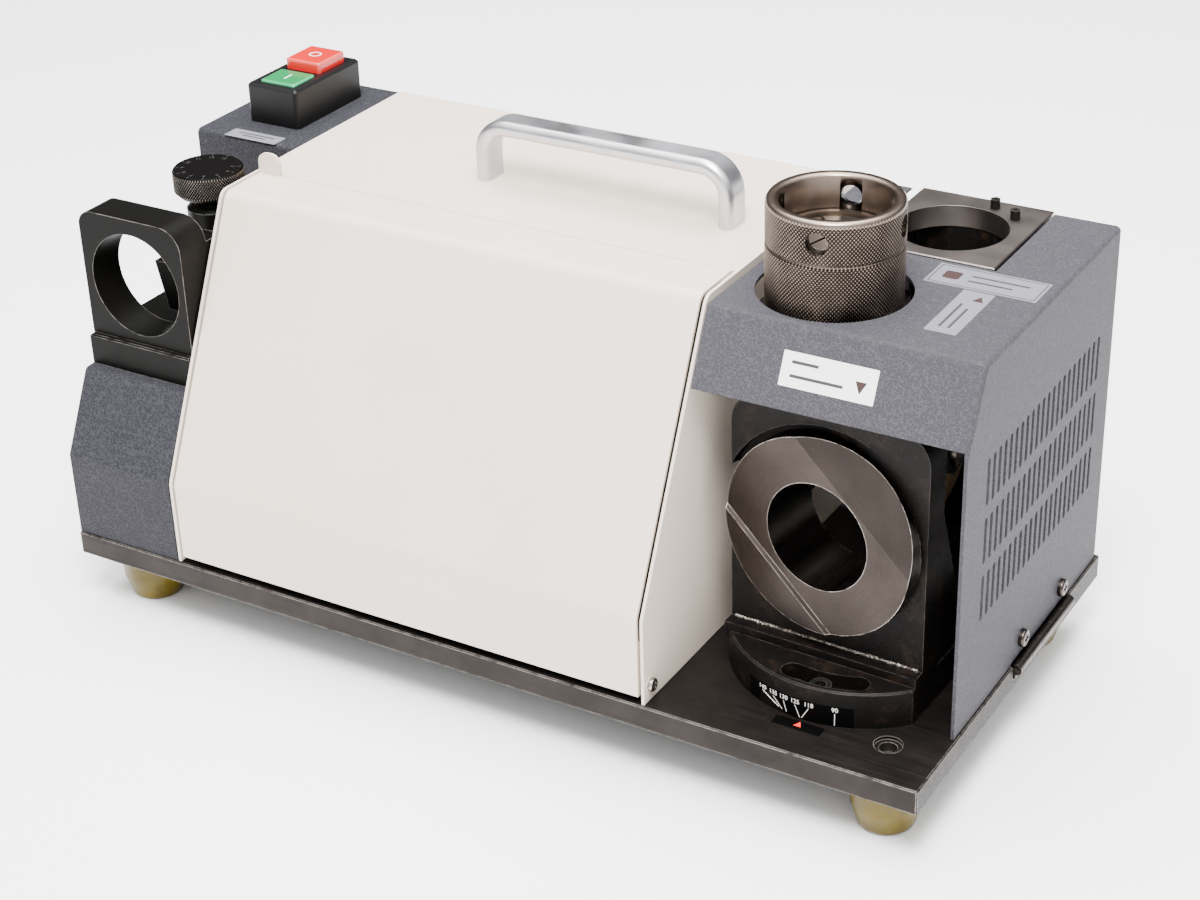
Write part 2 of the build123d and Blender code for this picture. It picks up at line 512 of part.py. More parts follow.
def motor_bell(x, out):
    """End bell with a bearing pocket that opens inwards."""
    corners = [(SHAFT_RADIUS + 1.5, 12), (SHAFT_RADIUS + 1.5, 10), (BEARING_RADIUS, 10), (BEARING_RADIUS, 0),
               (MOTOR_RADIUS, 0), (MOTOR_RADIUS, 6, 3), (24, 12, 6)]
    return turned((x, SPINDLE_Y, SPINDLE_Z), (out, 0, 0), corners)


def motor_bearings():
    """One ball bearing in each bell, drawn as a closed ring."""
    return [tube((x, SPINDLE_Y, SPINDLE_Z), (out, 0, 0), BEARING_RADIUS, SHAFT_RADIUS + 0.05, BEARING_WIDTH)
            for x, out in ((MOTOR_X[0], -1), (MOTOR_X[1], 1))]


def motor_cradle():
    """Saddle that carries the motor on the plate."""
    low, high = CRADLE_X
    saddle = across(outline((SPINDLE_Y - 42, DECK), (SPINDLE_Y - 30, 62), (SPINDLE_Y + 30, 62),
                            (SPINDLE_Y + 42, DECK)), (low, high))
    saddle -= rod((low - 1, SPINDLE_Y, SPINDLE_Z), (1, 0, 0), MOTOR_RADIUS, high - low + 2)
    saddle -= block((low + 12, high - 12), (SPINDLE_Y - 60, SPINDLE_Y + 60), (DECK + BOLTED_SOLE, 100))
    for x, y in CRADLE_SCREWS:
        saddle -= rod((x, y, DECK - 1), (0, 0, 1), SOLE_SCREW / 2, BOLTED_SOLE + 2)
    return saddle


def cradle_screws():
    """Four cap screws through the cradle's floor."""
    return [socket_screw((x, y, DECK + BOLTED_SOLE), (0, 0, 1), SOLE_SCREW, BOLTED_SOLE)
            for x, y in CRADLE_SCREWS]


def motor_shaft():
    """Shaft with the rotor's seat, a shoulder for the wheel and a threaded nose."""
    start = (MOTOR_X[0] - 22, SPINDLE_Y, SPINDLE_Z)
    return rod(start, (1, 0, 0), SHAFT_RADIUS, WHEEL_END - start[0])


def rotor_core():
    """Squirrel-cage rotor on the shaft."""
    return tube((MOTOR_X[0] + 12, SPINDLE_Y, SPINDLE_Z), (1, 0, 0), ROTOR_RADIUS, SHAFT_RADIUS,
                MOTOR_X[1] - MOTOR_X[0] - 24)


def cooling_fan():
    """Radial fan behind the rear bell."""
    x = MOTOR_X[0] - 13
    hub = tube((x, SPINDLE_Y, SPINDLE_Z), (-1, 0, 0), 12, SHAFT_RADIUS, 8)
    disc = tube((x, SPINDLE_Y, SPINDLE_Z), (-1, 0, 0), 38, SHAFT_RADIUS, 1.6)
    fan = hub + disc
    for i in range(8):
        blade = Pos(x - 4, SPINDLE_Y, SPINDLE_Z) * Rot(45 * i, 0, 0) * Pos(0, 24.5, 0) * Box(8, 27, 1.6)
        fan += blade
    return fan


def wheel_flange():
    """Locating flange between the motor and the wheel."""
    return turned((0, SPINDLE_Y, SPINDLE_Z), (1, 0, 0), [
        (SHAFT_RADIUS, WHEEL_X[0] - 20), (12, WHEEL_X[0] - 20), (12, WHEEL_X[0] - 6), (20, WHEEL_X[0] - 6),
        (20, WHEEL_X[0]), (SHAFT_RADIUS, WHEEL_X[0])])


def grinding_wheel():
    """Wheel with a bevelled working rim."""
    width = WHEEL_X[1] - WHEEL_X[0]
    small = WHEEL_RADIUS - width * tan(radians(WHEEL_BEVEL))
    return turned((0, SPINDLE_Y, SPINDLE_Z), (1, 0, 0), [
        (SHAFT_RADIUS, WHEEL_X[0]), (WHEEL_RADIUS, WHEEL_X[0]), (small, WHEEL_X[1]), (small - 9, WHEEL_X[1]),
        (small - 11, WHEEL_X[1] - 3), (SHAFT_RADIUS, WHEEL_X[1] - 3)])


def wheel_nut():
    """Hexagon nut that clamps the wheel."""
    plane = Plane(origin=(WHEEL_X[1] - 3, SPINDLE_Y, SPINDLE_Z), z_dir=(1, 0, 0))
    return extrude(plane * (RegularPolygon(13, 6) - Circle(SHAFT_RADIUS)), amount=9)


# ---- swivel bracket ----
def swivel_bracket():
    """Cast bracket: a round base with an arc slot, an upright wall and two gussets."""
    yaw = BRACKET_YAW
    foot = tall(Pos(PIVOT_X, PIVOT_Y) * Circle(BASE_RADIUS), (DECK + 0.1, BASE_TOP))
    floor_plane = bracket_plane(yaw, 0)
    frame = Plane(origin=(PIVOT_X, PIVOT_Y, DECK), x_dir=floor_plane.x_dir, z_dir=(0, 0, 1))
    trim = frame.location * Pos(WALL_SHIFT, -21, BASE_HEIGHT / 2) * Box(2 * WALL_HALF, 82, BASE_HEIGHT + 2)
    foot &= trim
    foot = chamfer(foot.edges().group_by(Axis.Z)[-1], 0.8)
    sides = (WALL_SHIFT - WALL_HALF, WALL_SHIFT + WALL_HALF)
    face = outline((sides[0], BASE_TOP - 4), (sides[0], WALL_TOP, 16), (sides[1], WALL_TOP, 16),
                   (sides[1], BASE_TOP - 4))
    wall = extrude(bracket_plane(yaw, WALL_FRONT) * face, amount=-WALL_THICK)
    strip = Pos(WALL_SHIFT, BASE_TOP) * Rectangle(2 * WALL_HALF, 2 * PAD_TOP)
    pad = extrude(bracket_plane(yaw, WALL_FRONT) * strip, PAD_OUT)
    solid = foot + wall + pad
    for side in (-1, 1):
        web = make_face(Polyline((-WALL_FRONT + WALL_THICK - 1, BASE_TOP - 1),
                                 (-WALL_FRONT + WALL_THICK - 1, 110), (12, BASE_TOP - 1), close=True))
        across_x = frame.x_dir * (WALL_SHIFT + side * (WALL_HALF - 4))
        plane = Plane(origin=frame.origin + across_x - Vector(0, 0, DECK),
                      x_dir=frame.y_dir, z_dir=frame.x_dir)
        solid += extrude(plane * web, amount=3.5, both=True)
    solid -= arc_slot(SLOT_WIDE, BASE_TOP - SLOT_STEP, BASE_TOP + 1)
    solid -= arc_slot(SLOT_NARROW, DECK - 1, BASE_TOP)
    solid -= rod((PIVOT_X, PIVOT_Y, DECK - 1), (0, 0, 1), PIN_RADIUS + 0.05, BASE_HEIGHT + 4)
    solid -= extrude(bracket_plane(RING_YAW, RING_BACK, RING_Z) * Circle(RING_RECESS), amount=20)
    return solid - extrude(bracket_plane(RING_YAW, 0, RING_Z) * Circle(RING_SPIGOT), amount=60)


def arc_slot(width, low, high):
    """Slot round the pivot, from low to high, with round ends."""
    first, last = SLOT_MIDDLE - SLOT_SPAN / 2, SLOT_MIDDLE + SLOT_SPAN / 2
    inner, outer = SLOT_RADIUS - width / 2, SLOT_RADIUS + width / 2
    ends = [pivot_point(r, a, 0) for r, a in ((inner, first), (inner, last), (outer, last), (outer, first))]
    middle_in, middle_out = pivot_point(inner, SLOT_MIDDLE, 0), pivot_point(outer, SLOT_MIDDLE, 0)
    tip_first = Vector(*pivot_point(SLOT_RADIUS, first - degrees(width / 2 / SLOT_RADIUS), 0))
    tip_last = Vector(*pivot_point(SLOT_RADIUS, last + degrees(width / 2 / SLOT_RADIUS), 0))
    edges = [ThreePointArc(ends[0], middle_in, ends[1]), ThreePointArc(ends[1], tip_last, ends[2]),
             ThreePointArc(ends[2], middle_out, ends[3]), ThreePointArc(ends[3], tip_first, ends[0])]
    return tall(make_face(edges), (low, high))


def cam_ring():
    """Steel port ring: flat face, a proud crescent with a bevelled chord, a sloping facet and a deep bore."""
    disc = extrude(bracket_plane(RING_YAW, RING_BACK, RING_Z) * Circle(RING_RADIUS),
                   amount=RING_FACE - RING_BACK)
    crescent = Circle(RING_RADIUS) & Rot(0, 0, CHORD_TILT) * Pos(0, -STEP_OFFSET - 40) * Rectangle(120, 80)
    disc += extrude(bracket_plane(RING_YAW, RING_FACE, RING_Z) * crescent, amount=STEP_HEIGHT)
    slope = bracket_plane(RING_YAW, RING_FACE, RING_Z).location * Rot(0, 0, CHORD_TILT)
    disc -= slope * Pos(0, -STEP_OFFSET, 0) * Rot(135, 0, 0) * Pos(0, 5, -5) * Box(120, 10, 10)
    disc -= slope * Pos(0, FACET_OFFSET, 0) * Rot(-FACET_TILT, 0, 0) * Pos(0, 40, 10) * Box(120, 80, 20)
    rear = bracket_plane(RING_YAW, SPIGOT_BACK, RING_Z)
    spigot = extrude(rear * Circle(RING_SPIGOT - 0.1), amount=RING_BACK - SPIGOT_BACK)
    bore = extrude(rear * Circle(PORT_RADIUS), amount=60)
    solid = disc + spigot - bore
    for x, y in RING_SCREWS:
        solid -= extrude(rear * Pos(x, y) * Circle(RING_SCREW_RADIUS), amount=18)
    return solid


def ring_screws():
    """Three screws from behind into the ring's collar."""
    screws = []
    for x, y in RING_SCREWS:
        plane = bracket_plane(RING_YAW, SPIGOT_BACK, RING_Z)
        seat = plane.origin + plane.x_dir * x + plane.y_dir * y
        head = rod(seat, -plane.z_dir, 3.4, 3.6)
        screws.append(head + rod(seat, plane.z_dir, RING_SCREW_RADIUS, 18))
    return screws


def bracket_pivot():
    """Pin, fast in the plate, on which the bracket turns."""
    pin = rod((PIVOT_X, PIVOT_Y, 2), (0, 0, 1), PIN_RADIUS, BASE_TOP - 4)
    return chamfer(pin.edges().group_by(Axis.Z)[-1], 0.8)


def lock_screw():
    """Cap screw sunk in the arc slot, fast in the plate."""
    x, y, z = pivot_point(SLOT_RADIUS, LOCK_ANGLE, BASE_TOP - SLOT_STEP + GAP)
    head = rod((x, y, z), (0, 0, 1), 4.7, LOCK_HEAD)
    socket = extrude(Plane(origin=(x, y, z + LOCK_HEAD)) * RegularPolygon(2.9, 6), amount=-3)
    return head - socket + rod((x, y, z), (0, 0, -1), LOCK_RADIUS, z - 3)


# ---- guard cover, hinge and chuck seat ----
def guard_cover():
    """Top, skirt and right side in folded sheet, with a chuck hole, a rear notch and louvres."""
    edge = outline((GUARD_FRONT_Y, SIT), (GUARD_FRONT_Y, SKIRT_Z), (BROW_GUARD_Y, GUARD_TOP, 2.5),
                   (COVER_BACK, GUARD_TOP, 2.5), (COVER_BACK, SIT))
    cover = across(edge, GUARD_X)
    cover = fillet(cover.edges().filter_by(Axis.Y).group_by(Axis.Z)[-1].sort_by(Axis.X)[-1], 2.5)
    inside = (GUARD_X[0] - 1, GUARD_X[1] - SHEET)
    cover -= across(offset(edge, -SHEET), inside)
    cover -= block(inside, (FRONT, COVER_BACK - SHEET), (0, SKIRT_Z))
    cover -= block((GUARD_X[0] - 1, NOTCH_X[1]), (COVER_BACK - 2 * SHEET, COVER_BACK + 1),
                   (0, GUARD_TOP - SHEET))
    cover -= block(NOTCH_X, (REAR_PLATE_Y[0] - 0.8, COVER_BACK + 1), (0, GUARD_TOP + 1))
    cover -= rod((CHUCK_X, CHUCK_Y, 150), (0, 0, 1), CHUCK_HOLE_RADIUS, 60)
    cover -= block((GUARD_X[1] - 3, GUARD_X[1] + 1), (HINGE_Y[0] - 1, HINGE_Y[1] + 1), (0, DECK + 1.3))
    for y in HINGE_SCREW_Y:
        cover -= rod((GUARD_X[1] + 1, y, HINGE_SCREW_Z), (-1, 0, 0), HINGE_SCREW_RADIUS, 4)
    return cover - louvres()


def louvres():
    """Rows of upright slots through the right side."""
    slots = []
    for z in LOUVRE_ROWS_Z:
        for i in range(LOUVRE_COUNT):
            slots.append(Pos(LOUVRE_Y + i * LOUVRE_PITCH, z) * SlotOverall(LOUVRE_HEIGHT, LOUVRE_WIDTH, 90))
    return across(Sketch() + slots, (GUARD_X[1] - 3, GUARD_X[1] + 1))


def knuckles(parity):
    """Every second barrel knuckle of the hinge, with clearance between them."""
    pitch = (HINGE_Y[1] - HINGE_Y[0]) / KNUCKLES
    return [(HINGE_Y[0] + i * pitch + 0.15, HINGE_Y[0] + (i + 1) * pitch - 0.15)
            for i in range(KNUCKLES) if i % 2 == parity]


def hinge_half(spans, web, leaf):
    """Leaf joined by a web to the knuckles in the spans."""
    half = leaf
    for low, high in spans:
        half += tube((HINGE_X, low, HINGE_Z), (0, 1, 0), HINGE_RADIUS, HINGE_PIN_RADIUS + 0.05, high - low)
        half += deep(web, (low, high))
    bore = rod((HINGE_X, HINGE_Y[0] - 1, HINGE_Z), (0, 1, 0), HINGE_PIN_RADIUS + 0.05,
               HINGE_Y[1] - HINGE_Y[0] + 2)
    return half - bore


def hinge_plate_half():
    """Flat leaf on a ledge in the edge of the base plate, under the barrel."""
    leaf = block((RIGHT - 4.4, HINGE_X), HINGE_Y, (HINGE_LEDGE, HINGE_LEDGE + 1.5))
    web = outline((HINGE_X - 2.4, HINGE_LEDGE + 1), (HINGE_X - 2.4, HINGE_Z - 1.8), (HINGE_X, HINGE_Z - 1.8),
                  (HINGE_X, HINGE_LEDGE + 1))
    return hinge_half(knuckles(0), web, leaf)


def hinge_cover_half():
    """Leaf inside the guard's right side, its knuckles reaching out under the sheet's edge."""
    inner = GUARD_X[1] - SHEET
    leaf = block((inner - SHEET, inner), HINGE_Y, (HINGE_Z - 0.6, DECK + 17.0))
    for y in HINGE_SCREW_Y:
        leaf -= rod((inner + 1, y, HINGE_SCREW_Z), (-1, 0, 0), HINGE_SCREW_RADIUS, 4)
    web = outline((inner - SHEET, HINGE_Z - 0.6), (inner - SHEET, HINGE_Z + 1.2), (HINGE_X - 2, HINGE_Z + 1.2),
                  (HINGE_X - 2, HINGE_Z - 0.6))
    return hinge_half(knuckles(1), web, leaf)


def hinge_pin():
    """Pin through all knuckles."""
    length = HINGE_Y[1] - HINGE_Y[0] + 1.6
    return rod((HINGE_X, HINGE_Y[0] - 0.8, HINGE_Z), (0, 1, 0), HINGE_PIN_RADIUS, length)


def hinge_screws():
    """Screws that hold the guard to its hinge leaf."""
    return [pan_screw((GUARD_X[1], y, HINGE_SCREW_Z), (1, 0, 0), 4.2, HINGE_SCREW_RADIUS, 6)
            for y in HINGE_SCREW_Y]


def chuck_seat():
    """Square seat hung under the guard's top, bored for the chuck's register."""
    low = SEAT_TOP - SEAT_THICK
    plate = tall(Pos(CHUCK_X, CHUCK_Y) * RectangleRounded(2 * SEAT_HALF, 2 * SEAT_HALF, 6), (low, SEAT_TOP))
    plate -= rod((CHUCK_X, CHUCK_Y, low - 1), (0, 0, 1), PORT_RADIUS, SEAT_THICK + 2)
    for x, y in SEAT_CORNERS:
        plate += rod((x, y, SEAT_TOP), (0, 0, 1), 4.0, GUARD_TOP - SHEET - SEAT_TOP)
    return plate


def seat_pins():
    """Three small stop pins in the seat, outside the chuck."""
    places = [(SEAT_PIN_CIRCLE * cos(radians(a)), SEAT_PIN_CIRCLE * sin(radians(a)))
              for a in (-115, -20, 150)]
    return [rod((CHUCK_X + x, CHUCK_Y + y, SEAT_TOP), (0, 0, 1), 1.5, 4) for x, y in places]


# ---- chuck ----
def chuck_body():
    """Knurled body with a plain register below and a taper for the collet."""
    return turned((CHUCK_X, CHUCK_Y, 0), (0, 0, 1), [
        (12, REGISTER_END), (REGISTER_RADIUS - 1, REGISTER_END), (REGISTER_RADIUS, REGISTER_END + 1),
        (REGISTER_RADIUS, SEAT_TOP + 0.05), (CHUCK_RADIUS - 0.8, SEAT_TOP + 0.05),
        (CHUCK_RADIUS, SEAT_TOP + 0.85), (CHUCK_RADIUS, NUT_Z[0] - 1.0),
        (CHUCK_RADIUS - 0.8, NUT_Z[0] - 0.2), (23, NUT_Z[0] - 0.2), (23, NUT_Z[0] + 4),
        (20.5, NUT_Z[0] + 4), (12, REGISTER_END + 8)])


def chuck_nut():
    """Knurled nut with four tommy-bar holes."""
    nut = turned((CHUCK_X, CHUCK_Y, 0), (0, 0, 1), [
        (24.1, NUT_Z[0]), (CHUCK_RADIUS - 0.8, NUT_Z[0]), (CHUCK_RADIUS, NUT_Z[0] + 0.8),
        (CHUCK_RADIUS, NUT_Z[1] - 2.2), (CHUCK_RADIUS - 1.2, NUT_Z[1] - 0.6), (CHUCK_RADIUS - 1.8, NUT_Z[1]),
        (25.2, NUT_Z[1]), (24.1, NUT_Z[1] - 1.1)])
    for i in range(4):
        angle = radians(TOMMY_ANGLE + 90 * i)
        nut -= rod((CHUCK_X, CHUCK_Y, TOMMY_Z), (cos(angle), sin(angle), 0), TOMMY_RADIUS, 40)
    return nut


def chuck_collet():
    """Collet in the chuck's taper, slit six ways."""
    top = NUT_Z[0] + 3.0
    depth = top - (REGISTER_END + 10)
    collet = turned((CHUCK_X, CHUCK_Y, 0), (0, 0, 1), [
        (DRILL_RADIUS, top - depth), (12.0, top - depth), (19.0, top - 3), (18.0, top), (DRILL_RADIUS, top)])
    for i in range(6):
        turn = Pos(CHUCK_X, CHUCK_Y, top) * Rot(0, 0, 60 * i + 15)
        collet -= turn * Pos(15, 0, 0) * Box(20, 1.4, 2 * depth - 20)
    return collet


# ---- rear port ----
def rear_port_plate():
    """Flat port plate level with the guard's top."""
    low = REAR_PLATE_TOP - REAR_PLATE_THICK
    plate = block(REAR_PLATE_X, REAR_PLATE_Y, (low, REAR_PLATE_TOP))
    plate = chamfer(plate.edges().group_by(Axis.Z)[-1], 0.5)
    plate -= rod((REAR_X, REAR_Y, low - 1), (0, 0, 1), PORT_RADIUS, REAR_PLATE_THICK + 2)
    for x, y in REAR_PINS:
        plate -= rod((x, y, low + 2), (0, 0, 1), REAR_PIN_RADIUS, REAR_PLATE_THICK)
    return plate


def rear_port_pins():
    """Two socket-headed stop pins."""
    pins = []
    for x, y in REAR_PINS:
        pin = rod((x, y, REAR_PLATE_TOP - 8), (0, 0, 1), REAR_PIN_RADIUS, 12.5)
        socket = Plane(origin=(x, y, REAR_PLATE_TOP + 4.5)) * RegularPolygon(1.3, 6)
        pins.append(pin - extrude(socket, amount=-2))
    return pins


def rear_port_bracket():
    """Upright channel that carries the rear port plate from the base."""
    top = REAR_PLATE_TOP - REAR_PLATE_THICK
    low, high = REAR_PLATE_X[0] + 0.5, REAR_PLATE_X[1] - 0.5
    web = block((low, high), (REAR_PLATE_Y[1] - 14, REAR_PLATE_Y[1] - 8), (DECK, top))
    sides = [block((x, x + 3.5), (REAR_PLATE_Y[0] + 12, REAR_PLATE_Y[1] - 8), (top - 26, top))
             for x in (low, high - 3.5)]
    sole = block((low, high), (REAR_PLATE_Y[1] - 30, REAR_PLATE_Y[1] - 8), (DECK, DECK + BOLTED_SOLE))
    bracket = web + sides[0] + sides[1] + sole
    for x in REAR_SCREW_X:
        bracket -= rod((x, REAR_SCREW_Y, DECK - 1), (0, 0, 1), SOLE_SCREW / 2, BOLTED_SOLE + 2)
    return bracket - rod((REAR_X, REAR_Y, top - 30), (0, 0, 1), PORT_RADIUS + 0.4, 40)


def bracket_screws():
    """Cap screws through the rear bracket's sole."""
    return [socket_screw((x, REAR_SCREW_Y, DECK + BOLTED_SOLE), (0, 0, 1), SOLE_SCREW, BOLTED_SOLE)
            for x in REAR_SCREW_X]


def rear_panel():
    """Fixed panel that closes the back behind the wheel."""
    y = (REAR_PLATE_Y[1] - 5.5, REAR_PLATE_Y[1] - 4.0)
    x = (MIDDLE_X[1] + 1.0, GUARD_X[1] - 3.5)
    panel = block(x, y, (DECK, 168))
    flange = block(x, (y[0] - 10, y[1]), (DECK, DECK + SHEET))
    return panel + flange - block((REAR_PLATE_X[0], REAR_PLATE_X[1]), (y[0] - 12, y[0]), (0, DECK + 5))


def main():
    os.makedirs("parts", exist_ok=True)
    write(base_plate=base_plate(), feet=feet(), foot_screws=foot_screws())
    write(left_housing=left_housing(), cord_gland=cord_gland(), run_capacitor=run_capacitor(),
          switch_body=switch_body(), green_key=switch_key(GREEN_Y, GREEN_TOP),
          red_key=switch_key(RED_Y, RED_TOP), green_spring=key_spring(GREEN_Y), red_spring=key_spring(RED_Y))
    write(setting_base=setting_base(), setting_block=setting_block(), spindle_housing=spindle_housing(),
          drill_stop=drill_stop(), setting_knob=setting_knob(), setting_screws=setting_screws())
    write(middle_cover=middle_cover(), storage_door=storage_door(), door_pivots=door_pivots(),
          carry_handle=carry_handle(), handle_screws=handle_screws(), collet_rack=collet_rack(),
          spare_collets=spare_collets())
    write(motor_frame=motor_frame(), motor_front_bell=motor_bell(MOTOR_X[1], 1),
          motor_rear_bell=motor_bell(MOTOR_X[0], -1), motor_bearings=motor_bearings(),
          motor_cradle=motor_cradle(), cradle_screws=cradle_screws())
    write(motor_shaft=motor_shaft(), rotor_core=rotor_core(), cooling_fan=cooling_fan(),
          wheel_flange=wheel_flange(), grinding_wheel=grinding_wheel(), wheel_nut=wheel_nut())
    write(swivel_bracket=swivel_bracket(), cam_ring=cam_ring(), ring_screws=ring_screws(),
          bracket_pivot=bracket_pivot(), lock_screw=lock_screw())
    write(guard_cover=guard_cover(), hinge_plate_half=hinge_plate_half(), hinge_cover_half=hinge_cover_half(),
          hinge_pin=hinge_pin(), hinge_screws=hinge_screws(), chuck_seat=chuck_seat(), seat_pins=seat_pins())
    write(chuck_body=chuck_body(), chuck_nut=chuck_nut(), chuck_collet=chuck_collet())
    write(rear_port_plate=rear_port_plate(), rear_port_pins=rear_port_pins(),
          rear_port_bracket=rear_port_bracket(), bracket_screws=bracket_screws(), rear_panel=rear_panel())


if __name__ == "__main__":
    main()
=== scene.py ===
"""Looks of a bench drill bit sharpener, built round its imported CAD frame.

Lengths are in metres, and a name that ends in _mm is in millimetres. Each piece is made where the frame
puts it, so that its object stays at the origin.
"""

import logging
from abc import ABC, abstractmethod
from dataclasses import dataclass
from enum import Enum
from typing import Any, Sequence

import bmesh
import bpy
import numpy as np
from mathutils import Matrix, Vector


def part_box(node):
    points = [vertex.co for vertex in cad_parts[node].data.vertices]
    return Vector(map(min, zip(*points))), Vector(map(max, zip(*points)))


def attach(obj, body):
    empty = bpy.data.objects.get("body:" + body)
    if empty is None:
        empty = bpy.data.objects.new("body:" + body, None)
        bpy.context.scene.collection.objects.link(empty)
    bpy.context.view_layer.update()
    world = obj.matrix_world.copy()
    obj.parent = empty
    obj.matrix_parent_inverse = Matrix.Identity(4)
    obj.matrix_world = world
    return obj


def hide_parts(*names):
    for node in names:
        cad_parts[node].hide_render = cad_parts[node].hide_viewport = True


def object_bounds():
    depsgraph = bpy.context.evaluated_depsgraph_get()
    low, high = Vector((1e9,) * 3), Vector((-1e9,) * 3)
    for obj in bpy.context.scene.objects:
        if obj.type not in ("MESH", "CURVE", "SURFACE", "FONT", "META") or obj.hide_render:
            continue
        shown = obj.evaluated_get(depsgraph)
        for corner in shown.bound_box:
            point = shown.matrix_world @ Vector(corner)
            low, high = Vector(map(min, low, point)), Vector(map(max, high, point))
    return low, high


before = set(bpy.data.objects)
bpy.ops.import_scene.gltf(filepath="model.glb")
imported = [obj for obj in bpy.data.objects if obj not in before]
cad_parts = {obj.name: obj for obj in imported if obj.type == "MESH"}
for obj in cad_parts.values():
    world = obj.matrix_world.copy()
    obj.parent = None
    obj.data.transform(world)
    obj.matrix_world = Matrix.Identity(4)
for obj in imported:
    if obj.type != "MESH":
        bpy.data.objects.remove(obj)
CAD_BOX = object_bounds()
MM = 0.001
FILM = 0.12 * MM  # thickness of a label
INK = 0.05 * MM  # thickness of what is printed on it
log = logging.getLogger("sharpener")

Points = np.ndarray
Pair = tuple[float, float]
Triple = tuple[float, float, float]
Tree = bpy.types.NodeTree
Node = bpy.types.Node
Socket = bpy.types.NodeSocket


# ---- shader graphs ----
def linear(colour: str) -> tuple[float, float, float, float]:
    """Turn an sRGB hex colour into linear light.

    Args:
        colour: "#RRGGBB".

    Returns:
        Red, green, blue and an alpha of 1.
    """
    values = np.array([int(colour[i:i + 2], 16) / 255 for i in (1, 3, 5)])
    light = np.where(values <= 0.04045, values / 12.92, ((values + 0.055) / 1.055) ** 2.4)
    return (float(light[0]), float(light[1]), float(light[2]), 1.0)


def add(tree: Tree, kind: str, inputs: dict[Any, Any] | None = None, **settings: Any) -> Node:
    """Add a shader node with its settings and its links.

    Args:
        tree: The material's node tree.
        kind: The node's type, without "ShaderNode".
        inputs: Value or source socket for each input, by name or number.
        settings: The node's own properties.

    Returns:
        The new node.
    """
    node = tree.nodes.new("ShaderNode" + kind)
    for key, value in settings.items():
        setattr(node, key, value)
    for key, value in (inputs or {}).items():
        if isinstance(value, bpy.types.NodeSocket):
            tree.links.new(value, node.inputs[key])
        else:
            node.inputs[key].default_value = value
    return node


def grain(size_mm: float) -> float:
    """Noise scale whose features are about this many millimetres across."""
    return 1000 / size_mm


def edge_mask(tree: Tree, radius_mm: float, start: float, full: float) -> Socket:
    """Mask that is 1 on sharp edges: there the normal, averaged over a radius, differs from the true one.

    Args:
        tree: The material's node tree.
        radius_mm: How far the mask reaches from the edge.
        start: Cosine between the two normals at which the mask starts.
        full: Cosine at which it is 1.

    Returns:
        The mask's socket.
    """
    rounded = add(tree, "Bevel", {"Radius": radius_mm * MM}, samples=4)
    true = add(tree, "NewGeometry")
    match = add(tree, "VectorMath", {0: rounded.outputs[0], 1: true.outputs["Normal"]},
                operation="DOT_PRODUCT").outputs["Value"]
    return add(tree, "MapRange", {"Value": match, "From Min": start, "From Max": full}).outputs[0]


def worn_edge(tree: Tree, place: Socket, radius_mm: float) -> Socket:
    """Edge mask broken up by noise, as where handling has rubbed a coat through.

    Args:
        tree: The material's node tree.
        place: Object coordinates.
        radius_mm: How far the wear reaches from the edge.

    Returns:
        The mask's socket.
    """
    edge = edge_mask(tree, radius_mm, 0.995, 0.86)
    patches = add(tree, "TexNoise", {"Vector": place, "Scale": grain(4.5), "Detail": 3.0})
    kept = add(tree, "MapRange", {"Value": patches.outputs[0], "From Min": 0.3, "From Max": 0.55})
    return add(tree, "Math", {0: edge, 1: kept.outputs[0]}, operation="MULTIPLY").outputs[0]


@dataclass(frozen=True)
class Finish(ABC):
    """One real material: its colour, gloss and pattern."""

    name: str
    colour: str
    roughness: float
    metallic: float = 0.0

    @abstractmethod
    def paint(self, tree: Tree, shader: Node, place: Socket) -> None:
        """Add the pattern's nodes and tie them to the shader.

        Args:
            tree: The material's node tree.
            shader: Its principled shader.
            place: Object coordinates.
        """

    def material(self) -> bpy.types.Material:
        """Make the material once.

        Returns:
            The material, the same one at every call.
        """
        found = bpy.data.materials.get(self.name)
        if found is not None:
            return found
        made = bpy.data.materials.new(self.name)
        made.use_nodes = True
        made.diffuse_color = linear(self.colour)
        tree = made.node_tree
        tree.nodes.clear()
        shader = add(tree, "BsdfPrincipled", {"Base Color": linear(self.colour), "Roughness": self.roughness,
                                              "Metallic": self.metallic})
        add(tree, "OutputMaterial", {"Surface": shader.outputs[0]})
        self.paint(tree, shader, add(tree, "TexCoord").outputs["Object"])
        return made


@dataclass(frozen=True)
class PowderCoat(Finish):
    """Polyester powder coat, baked on folded sheet: satin, with an orange peel that softens highlights."""

    peel_mm: float = 1.3
    depth_mm: float = 0.035
    shade: str = "#D9D4CE"

    def paint(self, tree: Tree, shader: Node, place: Socket) -> None:
        """Two sizes of soft noise make the peel, and a broad one tints the coat a little.

        Args:
            tree: The material's node tree.
            shader: Its principled shader.
            place: Object coordinates.
        """
        peel = add(tree, "TexNoise", {"Vector": place, "Scale": grain(self.peel_mm), "Detail": 2.0})
        wave = add(tree, "TexNoise", {"Vector": place, "Scale": grain(4 * self.peel_mm), "Detail": 1.0})
        both = add(tree, "Math", {0: peel.outputs[0], 1: wave.outputs[0]}, operation="ADD")
        bump = add(tree, "Bump", {"Height": both.outputs[0], "Distance": self.depth_mm * MM, "Strength": 0.8,
                                  "Normal": add(tree, "Bevel", {"Radius": 0.5 * MM}, samples=4).outputs[0]})
        tint = add(tree, "TexNoise", {"Vector": place, "Scale": grain(70), "Detail": 2.0})
        colour = add(tree, "Mix", {0: tint.outputs[0], 6: linear(self.colour), 7: linear(self.shade)},
                     data_type="RGBA").outputs[2]
        tree.links.new(bump.outputs[0], shader.inputs["Normal"])
        tree.links.new(colour, shader.inputs["Base Color"])


